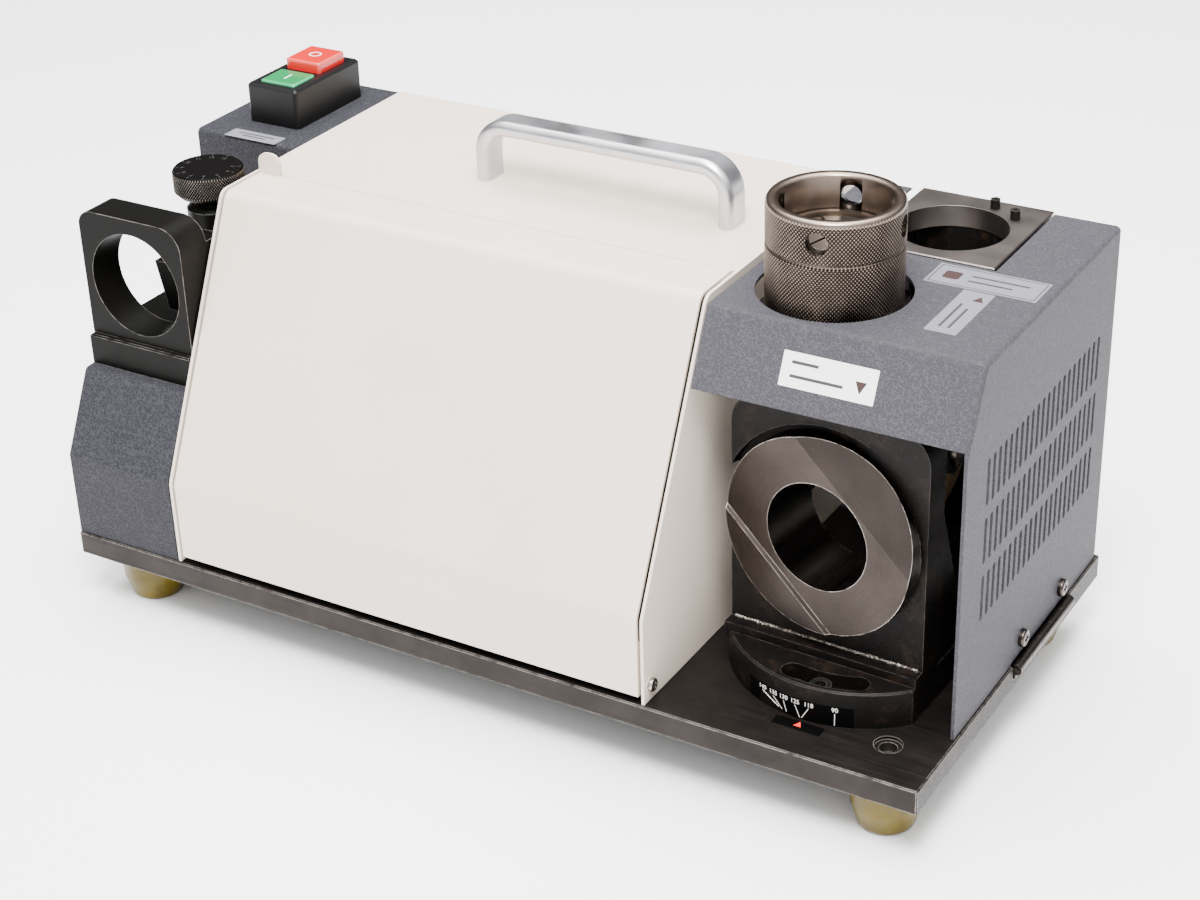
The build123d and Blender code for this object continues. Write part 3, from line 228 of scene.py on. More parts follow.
@dataclass(frozen=True)
class WrinkleCoat(Finish):
    """Leather-grain stoving enamel: raised, winding crests that catch light and carry a painted highlight,
    darker creases between.
    """

    grain_mm: float = 1.7
    depth_mm: float = 0.20
    # Colour of the painted highlight on the crests.
    crest: str = "#504F54"
    crest_share: float = 0.5
    sheen: float = 0.05
    soft_mm: float = 0.35

    def paint(self, tree: Tree, shader: Node, place: Socket) -> None:
        """Crests follow the line where a soft noise crosses its middle value, so they wind like worms.

        Args:
            tree: The material's node tree.
            shader: Its principled shader.
            place: Object coordinates.
        """
        shader.inputs["Specular IOR Level"].default_value = self.sheen
        soft = add(tree, "TexNoise", {"Vector": place, "Scale": grain(self.grain_mm), "Detail": 1.5,
                                      "Roughness": 0.45})
        off = add(tree, "Math", {0: soft.outputs[0], 1: 0.5}, operation="SUBTRACT")
        away = add(tree, "Math", {0: off.outputs[0]}, operation="ABSOLUTE")
        worm = add(tree, "MapRange", {"Value": away.outputs[0], "From Min": 0.085, "From Max": 0.0},
                   interpolation_type="SMOOTHSTEP")
        fine = add(tree, "TexNoise", {"Vector": place, "Scale": grain(self.grain_mm / 4), "Detail": 1.0})
        height = add(tree, "Math", {0: fine.outputs[0], 1: 0.35, 2: worm.outputs[0]},
                     operation="MULTIPLY_ADD")
        soft_edge = add(tree, "Bevel", {"Radius": self.soft_mm * MM}, samples=4)
        bump = add(tree, "Bump", {"Height": height.outputs[0], "Distance": self.depth_mm * MM,
                                  "Strength": 0.7, "Normal": soft_edge.outputs[0]})
        # The crests' lighter colour is a painted highlight.
        share = add(tree, "Math", {0: worm.outputs[0], 1: self.crest_share}, operation="MULTIPLY")
        colour = add(tree, "Mix", {0: share.outputs[0], 6: linear(self.colour), 7: linear(self.crest)},
                     data_type="RGBA").outputs[2]
        tree.links.new(bump.outputs[0], shader.inputs["Normal"])
        tree.links.new(colour, shader.inputs["Base Color"])


@dataclass(frozen=True)
class GroundSteel(Finish):
    """Mild steel, ground along its length and oiled: long scratches, brown blotches, bright edges."""

    blotch: str = "#2E2724"
    edge: str = "#A9A29B"
    grain: Triple = (30.0, 900.0, 900.0)
    wear_mm: float = 0.7

    def paint(self, tree: Tree, shader: Node, place: Socket) -> None:
        """Noise stretched along the grinding direction for scratches, broad noise for oil blotches.

        Args:
            tree: The material's node tree.
            shader: Its principled shader.
            place: Object coordinates.
        """
        along = add(tree, "Mapping", {"Vector": place, "Scale": self.grain})
        scratch = add(tree, "TexNoise", {"Vector": along.outputs[0], "Scale": 1.0, "Detail": 4.0})
        blot = add(tree, "TexNoise", {"Vector": place, "Scale": grain(26), "Detail": 5.0, "Roughness": 0.6})
        stain = add(tree, "MapRange", {"Value": blot.outputs[0], "From Min": 0.35, "From Max": 0.7})
        base = add(tree, "Mix", {0: stain.outputs[0], 6: linear(self.colour), 7: linear(self.blotch)},
                   data_type="RGBA").outputs[2]
        wear = worn_edge(tree, place, self.wear_mm)
        colour = add(tree, "Mix", {0: wear, 6: base, 7: linear(self.edge)}, data_type="RGBA").outputs[2]
        gloss = add(tree, "MapRange", {"Value": scratch.outputs[0], "From Min": 0.3, "From Max": 0.7,
                                       "To Min": self.roughness - 0.09, "To Max": self.roughness + 0.09})
        bump = add(tree, "Bump", {"Height": scratch.outputs[0], "Distance": 0.02 * MM, "Strength": 0.6})
        tree.links.new(colour, shader.inputs["Base Color"])
        tree.links.new(gloss.outputs[0], shader.inputs["Roughness"])
        tree.links.new(bump.outputs[0], shader.inputs["Normal"])


@dataclass(frozen=True)
class TurnedSteel(Finish):
    """Tool steel, face-turned and hardened: fine concentric marks that stretch highlights into fans."""

    centre: Triple = (0.0, 0.0, 0.0)
    axis: Triple = (0.0, 0.0, 1.0)
    pitch_mm: float = 0.35  # a finishing cut leaves marks 0.1 mm apart; drawn coarser
    # Edge colour: partly wear, partly a painted highlight where a lit chamfer would be.
    edge: str = "#C9BFB6"

    def paint(self, tree: Tree, shader: Node, place: Socket) -> None:
        """Marks follow the distance from the axis: the length of the cross product with its direction.

        Args:
            tree: The material's node tree.
            shader: Its principled shader.
            place: Object coordinates.
        """
        away = add(tree, "VectorMath", {0: place, 1: self.centre}, operation="SUBTRACT")
        round_about = add(tree, "VectorMath", {0: away.outputs[0], 1: self.axis}, operation="CROSS_PRODUCT")
        reach = add(tree, "VectorMath", {0: round_about.outputs[0]}, operation="LENGTH")
        turns = add(tree, "Math", {0: reach.outputs["Value"], 1: 1000 / self.pitch_mm}, operation="MULTIPLY")
        marks = add(tree, "TexNoise", {"W": turns.outputs[0], "Scale": 1.0, "Detail": 3.0},
                    noise_dimensions="1D")
        heat = add(tree, "TexNoise", {"Vector": place, "Scale": grain(22), "Detail": 3.0})
        tone = add(tree, "MapRange", {"Value": heat.outputs[0], "From Min": 0.3, "From Max": 0.75,
                                      "To Min": 0.0, "To Max": 0.55})
        base = add(tree, "Mix", {0: tone.outputs[0], 6: linear(self.colour), 7: linear("#272220")},
                   data_type="RGBA").outputs[2]
        # Light edges: partly wear, partly a painted highlight in place of the bore's lit chamfer.
        wear = worn_edge(tree, place, 0.5)
        colour = add(tree, "Mix", {0: wear, 6: base, 7: linear(self.edge)}, data_type="RGBA").outputs[2]
        bump = add(tree, "Bump", {"Height": marks.outputs[0], "Distance": 0.012 * MM, "Strength": 0.5})
        gloss = add(tree, "MapRange", {"Value": marks.outputs[0], "From Min": 0.3, "From Max": 0.7,
                                       "To Min": self.roughness - 0.06, "To Max": self.roughness + 0.06})
        shader.inputs["Anisotropic"].default_value = 0.55
        sweep = add(tree, "VectorTransform", {0: round_about.outputs[0]}, vector_type="VECTOR",
                    convert_from="OBJECT", convert_to="WORLD")
        tree.links.new(sweep.outputs[0], shader.inputs["Tangent"])
        tree.links.new(colour, shader.inputs["Base Color"])
        tree.links.new(gloss.outputs[0], shader.inputs["Roughness"])
        tree.links.new(bump.outputs[0], shader.inputs["Normal"])


@dataclass(frozen=True)
class KnurledSteel(Finish):
    """Rolled diamond knurl on alloy steel: light points, partly a painted highlight, over grooves in painted
    shade.
    """

    # Groove colour: painted shade in the grooves; the dial's plain faces take it as their own black.
    groove: str = "#241F1B"

    def paint(self, tree: Tree, shader: Node, place: Socket) -> None:
        """The mesh's crest attribute runs from 0 in a groove to 1 on a point, painted shade to painted
        highlight.

        Args:
            tree: The material's node tree.
            shader: Its principled shader.
            place: Object coordinates.
        """
        crest = add(tree, "Attribute", attribute_name="crest", attribute_type="GEOMETRY")
        soot = add(tree, "TexNoise", {"Vector": place, "Scale": grain(8), "Detail": 3.0})
        share = add(tree, "Math", {0: soot.outputs[0], 1: 0.3, 2: crest.outputs["Fac"]},
                    operation="MULTIPLY_ADD")
        level = add(tree, "MapRange", {"Value": share.outputs[0], "From Min": 0.45, "From Max": 0.95})
        colour = add(tree, "Mix", {0: level.outputs[0], 6: linear(self.groove), 7: linear(self.colour)},
                     data_type="RGBA").outputs[2]
        tree.links.new(colour, shader.inputs["Base Color"])


@dataclass(frozen=True)
class BlackOxide(Finish):
    """Hot black oxide on machined steel: satin black, soft mottling, grey metal through at worn edges."""

    edge: str = "#8B857F"
    mottle: str = "#1F1D1C"
    wear_mm: float = 0.45
    sheen: float = 0.07

    def paint(self, tree: Tree, shader: Node, place: Socket) -> None:
        """Cloudy noise for the mottling, and scattered bare metal on the edges.

        Args:
            tree: The material's node tree.
            shader: Its principled shader.
            place: Object coordinates.
        """
        shader.inputs["Specular IOR Level"].default_value = self.sheen
        cloud = add(tree, "TexNoise", {"Vector": place, "Scale": grain(14), "Detail": 4.0})
        base = add(tree, "Mix", {0: cloud.outputs[0], 6: linear(self.colour), 7: linear(self.mottle)},
                   data_type="RGBA").outputs[2]
        wear = worn_edge(tree, place, self.wear_mm)
        colour = add(tree, "Mix", {0: wear, 6: base, 7: linear(self.edge)}, data_type="RGBA").outputs[2]
        pits = add(tree, "TexNoise", {"Vector": place, "Scale": grain(0.8), "Detail": 3.0})
        bump = add(tree, "Bump", {"Height": pits.outputs[0], "Distance": 0.025 * MM, "Strength": 0.5})
        tree.links.new(colour, shader.inputs["Base Color"])
        tree.links.new(bump.outputs[0], shader.inputs["Normal"])


@dataclass(frozen=True)
class CastIron(Finish):
    """Grey iron, sand cast, oiled black: gritty skin with rusty brown specks and a few bright scuffs."""

    rust: str = "#3A281C"
    sand_mm: float = 0.9
    depth_mm: float = 0.22
    edge: str = "#4C4743"
    sheen: float = 0.12

    def paint(self, tree: Tree, shader: Node, place: Socket) -> None:
        """Sand grain is layered noise, and rust gathers where a broad noise is high.

        Args:
            tree: The material's node tree.
            shader: Its principled shader.
            place: Object coordinates.
        """
        shader.inputs["Specular IOR Level"].default_value = self.sheen
        sand = add(tree, "TexNoise", {"Vector": place, "Scale": grain(self.sand_mm), "Detail": 5.0,
                                      "Roughness": 0.65})
        patch = add(tree, "TexNoise", {"Vector": place, "Scale": grain(10), "Detail": 6.0, "Roughness": 0.7})
        rusty = add(tree, "MapRange", {"Value": patch.outputs[0], "From Min": 0.52, "From Max": 0.72})
        base = add(tree, "Mix", {0: rusty.outputs[0], 6: linear(self.colour), 7: linear(self.rust)},
                   data_type="RGBA").outputs[2]
        wear = worn_edge(tree, place, 0.5)
        colour = add(tree, "Mix", {0: wear, 6: base, 7: linear(self.edge)}, data_type="RGBA").outputs[2]
        bump = add(tree, "Bump", {"Height": sand.outputs[0], "Distance": self.depth_mm * MM, "Strength": 0.6})
        tree.links.new(colour, shader.inputs["Base Color"])
        tree.links.new(bump.outputs[0], shader.inputs["Normal"])


@dataclass(frozen=True)
class Satin(Finish):
    """Metal with a fine even texture, such as bead-blasted and anodised aluminium or zinc plate."""

    grain_mm: float = 0.35  # blasting leaves pits of about 0.1 mm; drawn coarser so that they show
    depth_mm: float = 0.012
    spread: float = 0.08
    shade: str = "#B4B4B8"

    def paint(self, tree: Tree, shader: Node, place: Socket) -> None:
        """Very fine noise roughens the skin, and a broad one varies its gloss.

        Args:
            tree: The material's node tree.
            shader: Its principled shader.
            place: Object coordinates.
        """
        pits = add(tree, "TexNoise", {"Vector": place, "Scale": grain(self.grain_mm), "Detail": 2.0})
        broad = add(tree, "TexNoise", {"Vector": place, "Scale": grain(17), "Detail": 2.0})
        gloss = add(tree, "MapRange", {"Value": broad.outputs[0], "From Min": 0.3, "From Max": 0.7,
                                       "To Min": self.roughness - self.spread,
                                       "To Max": self.roughness + self.spread})
        colour = add(tree, "Mix", {0: broad.outputs[0], 6: linear(self.colour), 7: linear(self.shade)},
                     data_type="RGBA").outputs[2]
        bump = add(tree, "Bump", {"Height": pits.outputs[0], "Distance": self.depth_mm * MM, "Strength": 0.5,
                                  "Normal": add(tree, "Bevel", {"Radius": 0.3 * MM}, samples=4).outputs[0]})
        tree.links.new(colour, shader.inputs["Base Color"])
        tree.links.new(gloss.outputs[0], shader.inputs["Roughness"])
        tree.links.new(bump.outputs[0], shader.inputs["Normal"])


@dataclass(frozen=True)
class Moulded(Finish):
    """Injection-moulded plastic: a spark-eroded grain on its faces and soft edges."""

    grain_mm: float = 0.5
    depth_mm: float = 0.02
    shade: str = "#0F0F10"

    def paint(self, tree: Tree, shader: Node, place: Socket) -> None:
        """Set even noise for the tool's grain, and a faint cloud in the colour.

        Args:
            tree: The material's node tree.
            shader: Its principled shader.
            place: Object coordinates.
        """
        shader.inputs["Specular IOR Level"].default_value = 0.2
        pits = add(tree, "TexNoise", {"Vector": place, "Scale": grain(self.grain_mm), "Detail": 3.0})
        cloud = add(tree, "TexNoise", {"Vector": place, "Scale": grain(11), "Detail": 2.0})
        colour = add(tree, "Mix", {0: cloud.outputs[0], 6: linear(self.colour), 7: linear(self.shade)},
                     data_type="RGBA").outputs[2]
        bump = add(tree, "Bump", {"Height": pits.outputs[0], "Distance": self.depth_mm * MM, "Strength": 0.5,
                                  "Normal": add(tree, "Bevel", {"Radius": 0.5 * MM}, samples=4).outputs[0]})
        tree.links.new(colour, shader.inputs["Base Color"])
        tree.links.new(bump.outputs[0], shader.inputs["Normal"])


@dataclass(frozen=True)
class Clear(Finish):
    """Clear-tinted plastic or rubber: light passes in and comes back deeper in colour."""

    passing: float = 0.7
    depth_mm: float = 3.0
    deep: str = "#4A3A04"
    ior: float = 1.5

    def paint(self, tree: Tree, shader: Node, place: Socket) -> None:
        """Cloudy tint in a see-through body, with light scattered under the skin.

        Args:
            tree: The material's node tree.
            shader: Its principled shader.
            place: Object coordinates.
        """
        cloud = add(tree, "TexNoise", {"Vector": place, "Scale": grain(11), "Detail": 3.0})
        colour = add(tree, "Mix", {0: cloud.outputs[0], 6: linear(self.colour), 7: linear(self.deep)},
                     data_type="RGBA").outputs[2]
        ripple = add(tree, "TexNoise", {"Vector": place, "Scale": grain(3.3), "Detail": 1.0})
        bump = add(tree, "Bump", {"Height": ripple.outputs[0], "Distance": 0.08 * MM, "Strength": 0.5})
        shader.inputs["Transmission Weight"].default_value = self.passing
        shader.inputs["IOR"].default_value = self.ior
        shader.inputs["Specular IOR Level"].default_value = 0.3
        shader.inputs["Subsurface Weight"].default_value = 0.15
        shader.inputs["Subsurface Scale"].default_value = self.depth_mm * MM
        tree.links.new(colour, shader.inputs["Base Color"])
        tree.links.new(bump.outputs[0], shader.inputs["Normal"])


@dataclass(frozen=True)
class KeyCap(Finish):
    """Coloured key under a clear hood: glossy face, and edges painted pale as a painted highlight where the
    hood gathers light.
    """

    # Pale colour of the painted highlight on the rims.
    pale: str = "#E8B8B4"
    shade: str = "#0C7F52"
    rim_mm: float = 1.6

    def paint(self, tree: Tree, shader: Node, place: Socket) -> None:
        """The edge mask turns the colour pale as a painted highlight, and a cloud varies it a little.

        Args:
            tree: The material's node tree.
            shader: Its principled shader.
            place: Object coordinates.
        """
        cloud = add(tree, "TexNoise", {"Vector": place, "Scale": grain(17), "Detail": 2.0})
        base = add(tree, "Mix", {0: cloud.outputs[0], 6: linear(self.colour), 7: linear(self.shade)},
                   data_type="RGBA").outputs[2]
        edge = edge_mask(tree, self.rim_mm, 0.998, 0.80)
        colour = add(tree, "Mix", {0: edge, 6: base, 7: linear(self.pale)}, data_type="RGBA").outputs[2]
        rounded = add(tree, "Bevel", {"Radius": self.rim_mm * MM}, samples=6)
        shader.inputs["Coat Weight"].default_value = 0.3
        shader.inputs["Coat Roughness"].default_value = 0.05
        tree.links.new(colour, shader.inputs["Base Color"])
        tree.links.new(rounded.outputs[0], shader.inputs["Normal"])


@dataclass(frozen=True)
class Print(Finish):
    """Printed polyester film or ink: flat colour with a slight haze, and a faint paper-like grain."""

    shade: str = "#DADADA"
    sheen: float = 0.5

    def paint(self, tree: Tree, shader: Node, place: Socket) -> None:
        """A weak cloud dulls the print unevenly.

        Args:
            tree: The material's node tree.
            shader: Its principled shader.
            place: Object coordinates.
        """
        shader.inputs["Specular IOR Level"].default_value = self.sheen
        cloud = add(tree, "TexNoise", {"Vector": place, "Scale": grain(6), "Detail": 4.0})
        weak = add(tree, "MapRange", {"Value": cloud.outputs[0], "To Min": 0.0, "To Max": 0.5})
        colour = add(tree, "Mix", {0: weak.outputs[0], 6: linear(self.colour), 7: linear(self.shade)},
                     data_type="RGBA").outputs[2]
        tree.links.new(colour, shader.inputs["Base Color"])


# ---- surfaces ----
def recalculated(mesh: bpy.types.Mesh) -> None:
    """Merge doubles and turn every face of a closed mesh outwards.

    Args:
        mesh: The mesh to change.
    """
    work = bmesh.new()
    work.from_mesh(mesh)
    bmesh.ops.remove_doubles(work, verts=work.verts, dist=1e-7)
    bmesh.ops.recalc_face_normals(work, faces=work.faces)
    work.to_mesh(mesh)
    work.free()


def skin(name: str, rings: Points, closed: bool = False, crest: Points | None = None,
         sharp: float = 30.0) -> bpy.types.Object:
    """Skin over a stack of rings: point j of ring i joins its neighbours in both directions.

    Args:
        name: The piece's name.
        rings: Array (rings, points, 3).
        closed: Whether the last ring joins the first, as on a bored tube. Otherwise both ends are capped.
        crest: Value for each point, kept as the attribute "crest".
        sharp: Angle in degrees past which an edge stays sharp.

    Returns:
        The new object, its mesh in the frame's coordinates.
    """
    count, around = rings.shape[:2]
    i, j = np.meshgrid(np.arange(count if closed else count - 1), np.arange(around), indexing="ij")
    up, on = (i + 1) % count, (j + 1) % around
    quads = np.stack([i * around + j, i * around + on, up * around + on, up * around + j], -1).reshape(-1, 4)
    faces = quads.tolist()
    if not closed:
        faces.append(list(range(around))[::-1])
        faces.append(list(range((count - 1) * around, count * around)))
    mesh = bpy.data.meshes.new(name)
    mesh.from_pydata(rings.reshape(-1, 3).tolist(), [], faces)
    if crest is not None:
        layer = mesh.attributes.new("crest", "FLOAT", "POINT")
        layer.data.foreach_set("value", crest.astype(np.float32).ravel())
    recalculated(mesh)
    return shown(name, mesh, sharp)


def shown(name: str, mesh: bpy.types.Mesh, sharp: float = 30.0) -> bpy.types.Object:
    """Smooth a mesh up to an edge angle, and put it in the scene.

    Args:
        name: The piece's name.
        mesh: Its mesh, in the frame's coordinates.
        sharp: Angle in degrees past which an edge stays sharp.

    Returns:
        The new object.
    """
    mesh.shade_smooth()
    mesh.set_sharp_from_angle(angle=float(np.radians(sharp)))
    piece = bpy.data.objects.new(name, mesh)
    bpy.context.scene.collection.objects.link(piece)
    return piece


def turned(profile: Points, centre: Pair, around: int = 128) -> Points:
    """Revolve a profile about an upright axis: each point's radius is swept through a full turn.

    Args:
        profile: Array (points, 2) of radius and height.
        centre: The axis, as x and y.
        around: Points in a turn.

    Returns:
        Array (points, around, 3).
    """
    angle = np.linspace(0, 2 * np.pi, around, endpoint=False)
    radius, height = profile[:, 0, None], profile[:, 1, None]
    x, y = centre[0] + radius * np.cos(angle), centre[1] + radius * np.sin(angle)
    return np.stack(np.broadcast_arrays(x, y, height), -1)


def rectangle(width: float, height: float, radius: float, steps: int = 6) -> Points:
    """Outline of a rectangle with round corners, centred, each corner a quarter circle.

    Args:
        width: Its size along u.
        height: Its size along v.
        radius: Radius of the corners.
        steps: Points on each corner.

    Returns:
        Array (points, 2).
    """
    quarter = np.linspace(0, np.pi / 2, steps)
    corners = [(width / 2 - radius, height / 2 - radius, 0), (radius - width / 2, height / 2 - radius, 1),
               (radius - width / 2, radius - height / 2, 2), (width / 2 - radius, radius - height / 2, 3)]
    return np.concatenate([np.stack([x + radius * np.cos(quarter + turn * np.pi / 2),
                                     y + radius * np.sin(quarter + turn * np.pi / 2)], -1)
                           for x, y, turn in corners])


def triangle(size: float) -> Points:
    """Outline of an upright triangle that points along +v, as wide as it is high.

    Args:
        size: Its width.

    Returns:
        Array (3, 2).
    """
    return np.array([(-size / 2, -size / 2), (size / 2, -size / 2), (0.0, size / 2)])


@dataclass(frozen=True)
class Plane:
    """Flat patch in the frame: an origin and two directions, with the normal between them."""

    origin: Triple
    along: Triple
    up: Triple

    def lift(self, flat: Points, height: float) -> Points:
        """Place points (u, v), raised along the normal.

        Args:
            flat: Array (points, 2).
            height: Distance above the patch.

        Returns:
            Array (points, 3).
        """
        along, up = np.array(self.along), np.array(self.up)
        normal = np.cross(along, up)
        return np.array(self.origin) + flat[:, :1] * along + flat[:, 1:2] * up + height * normal


@dataclass(frozen=True)
class Barrel:
    """Patch wrapped round an upright cylinder: u is arc length to the right, v is height."""

    centre: Pair
    radius: float
    facing: float
    base: float

    def lift(self, flat: Points, height: float) -> Points:
        """Wrap points (u, v) round the cylinder, raised outwards: the angle is u over the radius.

        Args:
            flat: Array (points, 2).
            height: Distance outside the cylinder.

        Returns:
            Array (points, 3).
        """
        angle = self.facing + flat[:, 0] / self.radius
        reach = self.radius + height
        return np.stack([self.centre[0] + reach * np.sin(angle), self.centre[1] - reach * np.cos(angle),
                         self.base + flat[:, 1]], -1)


Patch = Plane | Barrel


def film(name: str, outline: Points, patch: Patch, low: float, thick: float) -> bpy.types.Object:
    """Thin closed sheet over an outline: its rings shrink to the middle on both faces.

    Args:
        name: The piece's name.
        outline: Array (points, 2) round the sheet.
        patch: Where it lies.
        low: Height of its lower face above the patch.
        thick: Its thickness.

    Returns:
        The new object.
    """
    middle = outline.mean(0)
    shares = (0.02, 0.5, 1.0)
    scales = [(share, low) for share in shares] + [(share, low + thick) for share in reversed(shares)]
    rings = np.stack([patch.lift(middle + (outline - middle) * share, height) for share, height in scales])
    return skin(name, rings)


def strip(width: float, height: float, place: Pair, cuts: int = 24) -> Points:
    """Outline of a plain rectangle with many points along its length, so that it can wrap a barrel.

    Args:
        width: Its size along u.
        height: Its size along v.
        place: Its middle.
        cuts: Points on each long side.

    Returns:
        Array (points, 2).
    """
    line = np.linspace(-width / 2, width / 2, cuts)
    top = np.stack([line, np.full(cuts, height / 2)], -1)
    return np.concatenate([top[::-1], -top[::-1]]) + np.array(place)


def stroke(start: Pair, end: Pair, width: float) -> Points:
    """Outline of a straight line with a width: both ends moved half of it to either side.

    Args:
        start: One end, as (u, v).
        end: The other end.
        width: Width of the line.

    Returns:
        Array (4, 2).
    """
    a, b = np.array(start), np.array(end)
    side = np.array([a[1] - b[1], b[0] - a[0]]) / np.linalg.norm(b - a) * width / 2
    return np.stack([a - side, b - side, b + side, a + side])


def words(name: str, text: str, size: float, patch: Patch, place: Pair, low: float, turn: float = 0.0,
          thick: float = 0.06 * MM) -> bpy.types.Object:
    """Characters as a thin mesh on a patch, centred on a place.

    Args:
        name: The piece's name.
        text: Digits or signs only.
        size: Height of the type.
        patch: Where it lies.
        place: Its middle, as (u, v).
        low: Height above the patch.
        turn: Angle in radians about its middle.
        thick: Thickness of the ink.

    Returns:
        The new object.
    """
    curve = bpy.data.curves.new(name, "FONT")
    curve.body = text
    curve.size = size
    curve.align_x = "CENTER"
    curve.align_y = "CENTER"
    curve.extrude = thick / 2
    maker = bpy.data.objects.new(name + "_type", curve)
    bpy.context.scene.collection.objects.link(maker)
    bpy.context.view_layer.update()
    mesh = bpy.data.meshes.new_from_object(maker)
    mesh.name = name
    bpy.data.objects.remove(maker)
    co = np.zeros(len(mesh.vertices) * 3)
    mesh.vertices.foreach_get("co", co)
    co = co.reshape(-1, 3)
    spun = np.stack([co[:, 0] * np.cos(turn) - co[:, 1] * np.sin(turn),
                     co[:, 0] * np.sin(turn) + co[:, 1] * np.cos(turn)], -1) + np.array(place)
    flat, raised = patch.lift(spun, low), patch.lift(spun, low + 1.0)
    at = flat + (raised - flat) * (co[:, 2:3] + thick / 2)
    mesh.vertices.foreach_set("co", at.ravel())
    mesh.materials.clear()
    recalculated(mesh)
    return shown(name, mesh)


def wave(turns: Points) -> Points:
    """Triangle wave: 0 at whole turns, 1 half way between.

    Args:
        turns: Where to read it, in turns.

    Returns:
        Values from 0 to 1, shaped as turns.
    """
    return 1 - np.abs(2 * (turns % 1.0) - 1)


@dataclass(frozen=True)
class Knurl:
    """Diamond knurl: two crossed families of grooves leave rows of small pyramids."""

    teeth: int
    pitch: float
    depth: float
    samples: int = 4

    def rows(self, low: float, high: float) -> Points:
        """Heights at which the pattern is sampled, a few to each pyramid.

        Args:
            low: Lowest row.
            high: Highest row.

        Returns:
            Array of heights.
        """
        count = int(np.ceil((high - low) / self.pitch * self.samples)) + 1
        return np.linspace(low, high, count)

    def crest(self, height: Points) -> Points:
        """Pattern from 0 in a groove to 1 on a point, for rows at these heights.

        The lower of two waves, one climbing to the right and one to the left, is a pyramid.

        Args:
            height: The rows' heights.

        Returns:
            Array (rows, points around).
        """
        turn = np.arange(self.teeth * self.samples) / self.samples
        climb = height[:, None] / self.pitch
        return np.minimum(wave(turn + climb), wave(turn - climb))


# ---- pieces and bodies ----
def dress(finish: Finish, *nodes: str) -> None:
    """Give CAD nodes a finish in all their material slots.

    Args:
        finish: The finish.
        nodes: Names of the nodes.
    """
    for node in nodes:
        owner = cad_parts[node]
        if not owner.material_slots:
            owner.data.materials.append(None)
        for slot in owner.material_slots:
            slot.material = finish.material()


def fit(piece: bpy.types.Object, finish: Finish, body: str, slot: str, *nodes: str) -> bpy.types.Object:
    """Finish a new piece and tie it to its body.

    Args:
        piece: The new object.
        finish: Its finish.
        body: The body that it rides on.
        slot: The record's material slot; not used.
        nodes: CAD nodes that it stands for.

    Returns:
        The same object.
    """
    piece.data.materials.clear()
    piece.data.materials.append(finish.material())
    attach(piece, body)
    if nodes:
        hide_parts(*nodes)
    return piece


def middle(node: str) -> Points:
    """Centre of a CAD node's box."""
    low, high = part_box(node)
    return (np.array(low) + np.array(high)) / 2


def top_of(node: str) -> float:
    """Highest point of a CAD node."""
    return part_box(node)[1].z


# ---- finishes of this machine ----
# Polyester powder coat on folded steel: warm white, satin, edges a little soft.
CREAM = PowderCoat("cream_powder_coat_baked", "#D6C9BC", 0.42, shade="#CCBEB0")
# Stoved wrinkle enamel: mid grey whose winding crests glint under a high light, and carry a painted
# highlight.
GREY = WrinkleCoat("grey_wrinkle_enamel_stoved", "#3A393D", 0.45)
# The same enamel on the left housing, a shade darker: painted shade, as that end gets less light.
GREY_PAINTED_SHADE = WrinkleCoat("grey_wrinkle_enamel_painted_shade", "#29292D", 0.44, crest="#434347")
# Ground mild steel with old oil: almost black on top, brown in blotches, bright where edges are rubbed.
PLATE_STEEL = GroundSteel("mild_steel_ground_oiled", "#2A2523", 0.48, 0.85, "#1D1917")
# Surface-ground tool steel: warm grey, even, with a soft sheen.
PORT_STEEL = Satin("tool_steel_surface_ground", "#8A827D", 0.36, 1.0, 0.6, 0.02, 0.05, "#756E6A")
# Rolled knurl on alloy steel: warm grey points, partly a painted highlight, over grooves darkened as painted
# shade.
CHUCK_STEEL = KnurledSteel("alloy_steel_knurled", "#8C7E73", 0.30, 1.0, "#1F1A17")
# The same knurl on the blackened dial: black faces and grooves, with light points, partly bare metal and
# partly a painted highlight.
KNOB_STEEL = KnurledSteel("alloy_steel_knurled_blackened", "#8A827A", 0.42, 1.0, "#1B1918")
# Hot black oxide on machined steel: deep satin black that turns grey at worn corners.
OXIDE = BlackOxide("steel_black_oxide", "#060605", 0.42, 0.0, mottle="#0C0B0A")
# Black oxide on screws: a little shinier, its sockets and rims rubbed bright.
SCREW_OXIDE = BlackOxide("screw_steel_black_oxide", "#1A1918", 0.34, 0.5, "#6E6862")
# Sand-cast grey iron, oiled: gritty black skin with rust-brown patches.
IRON = CastIron("grey_iron_cast_oiled", "#0C0A09", 0.42, 0.2, "#241A14", 1.1, 0.45)
# The fettled seam of the same casting: bare lumps that sparkle.
IRON_BRIGHT = CastIron("grey_iron_fettled", "#8A837C", 0.4, 0.8, "#2A211B", 0.7, 0.2)
# Blasted and anodised aluminium: pale, silky, without sharp reflections.
ANODISED = Satin("aluminium_blasted_anodised", "#CDCDD2", 0.38, 1.0, shade="#C2C2C7")
# Zinc plate on small screws: cool, bright, slightly cloudy.
ZINC = Satin("steel_zinc_plated", "#BDB8AE", 0.28, 1.0, 0.6, 0.02, 0.08, "#8F8A82")
# Drawn steel of the hinge: brownish grey with soft streaks of light.
HINGE_STEEL = Satin("steel_drawn_hinge", "#544D49", 0.30, 1.0, 0.8, 0.02, 0.08, "#35302D")
# Die-cast aluminium: flat grey with a soft grain.
DIE_CAST = Satin("aluminium_die_cast", "#A9A9AA", 0.48, 1.0, 1.2, 0.05, 0.08, "#858588")
# Drawn aluminium can: smooth and bright.
CAN = Satin("aluminium_drawn_can", "#D0D0D2", 0.25, 1.0)
# Hardened and ground spring steel: dark, glossy, with a fine grain.
HARD_STEEL = Satin("spring_steel_hardened_ground", "#8B857E", 0.28, 1.0, 0.5, 0.01, 0.06, "#5F5A55")
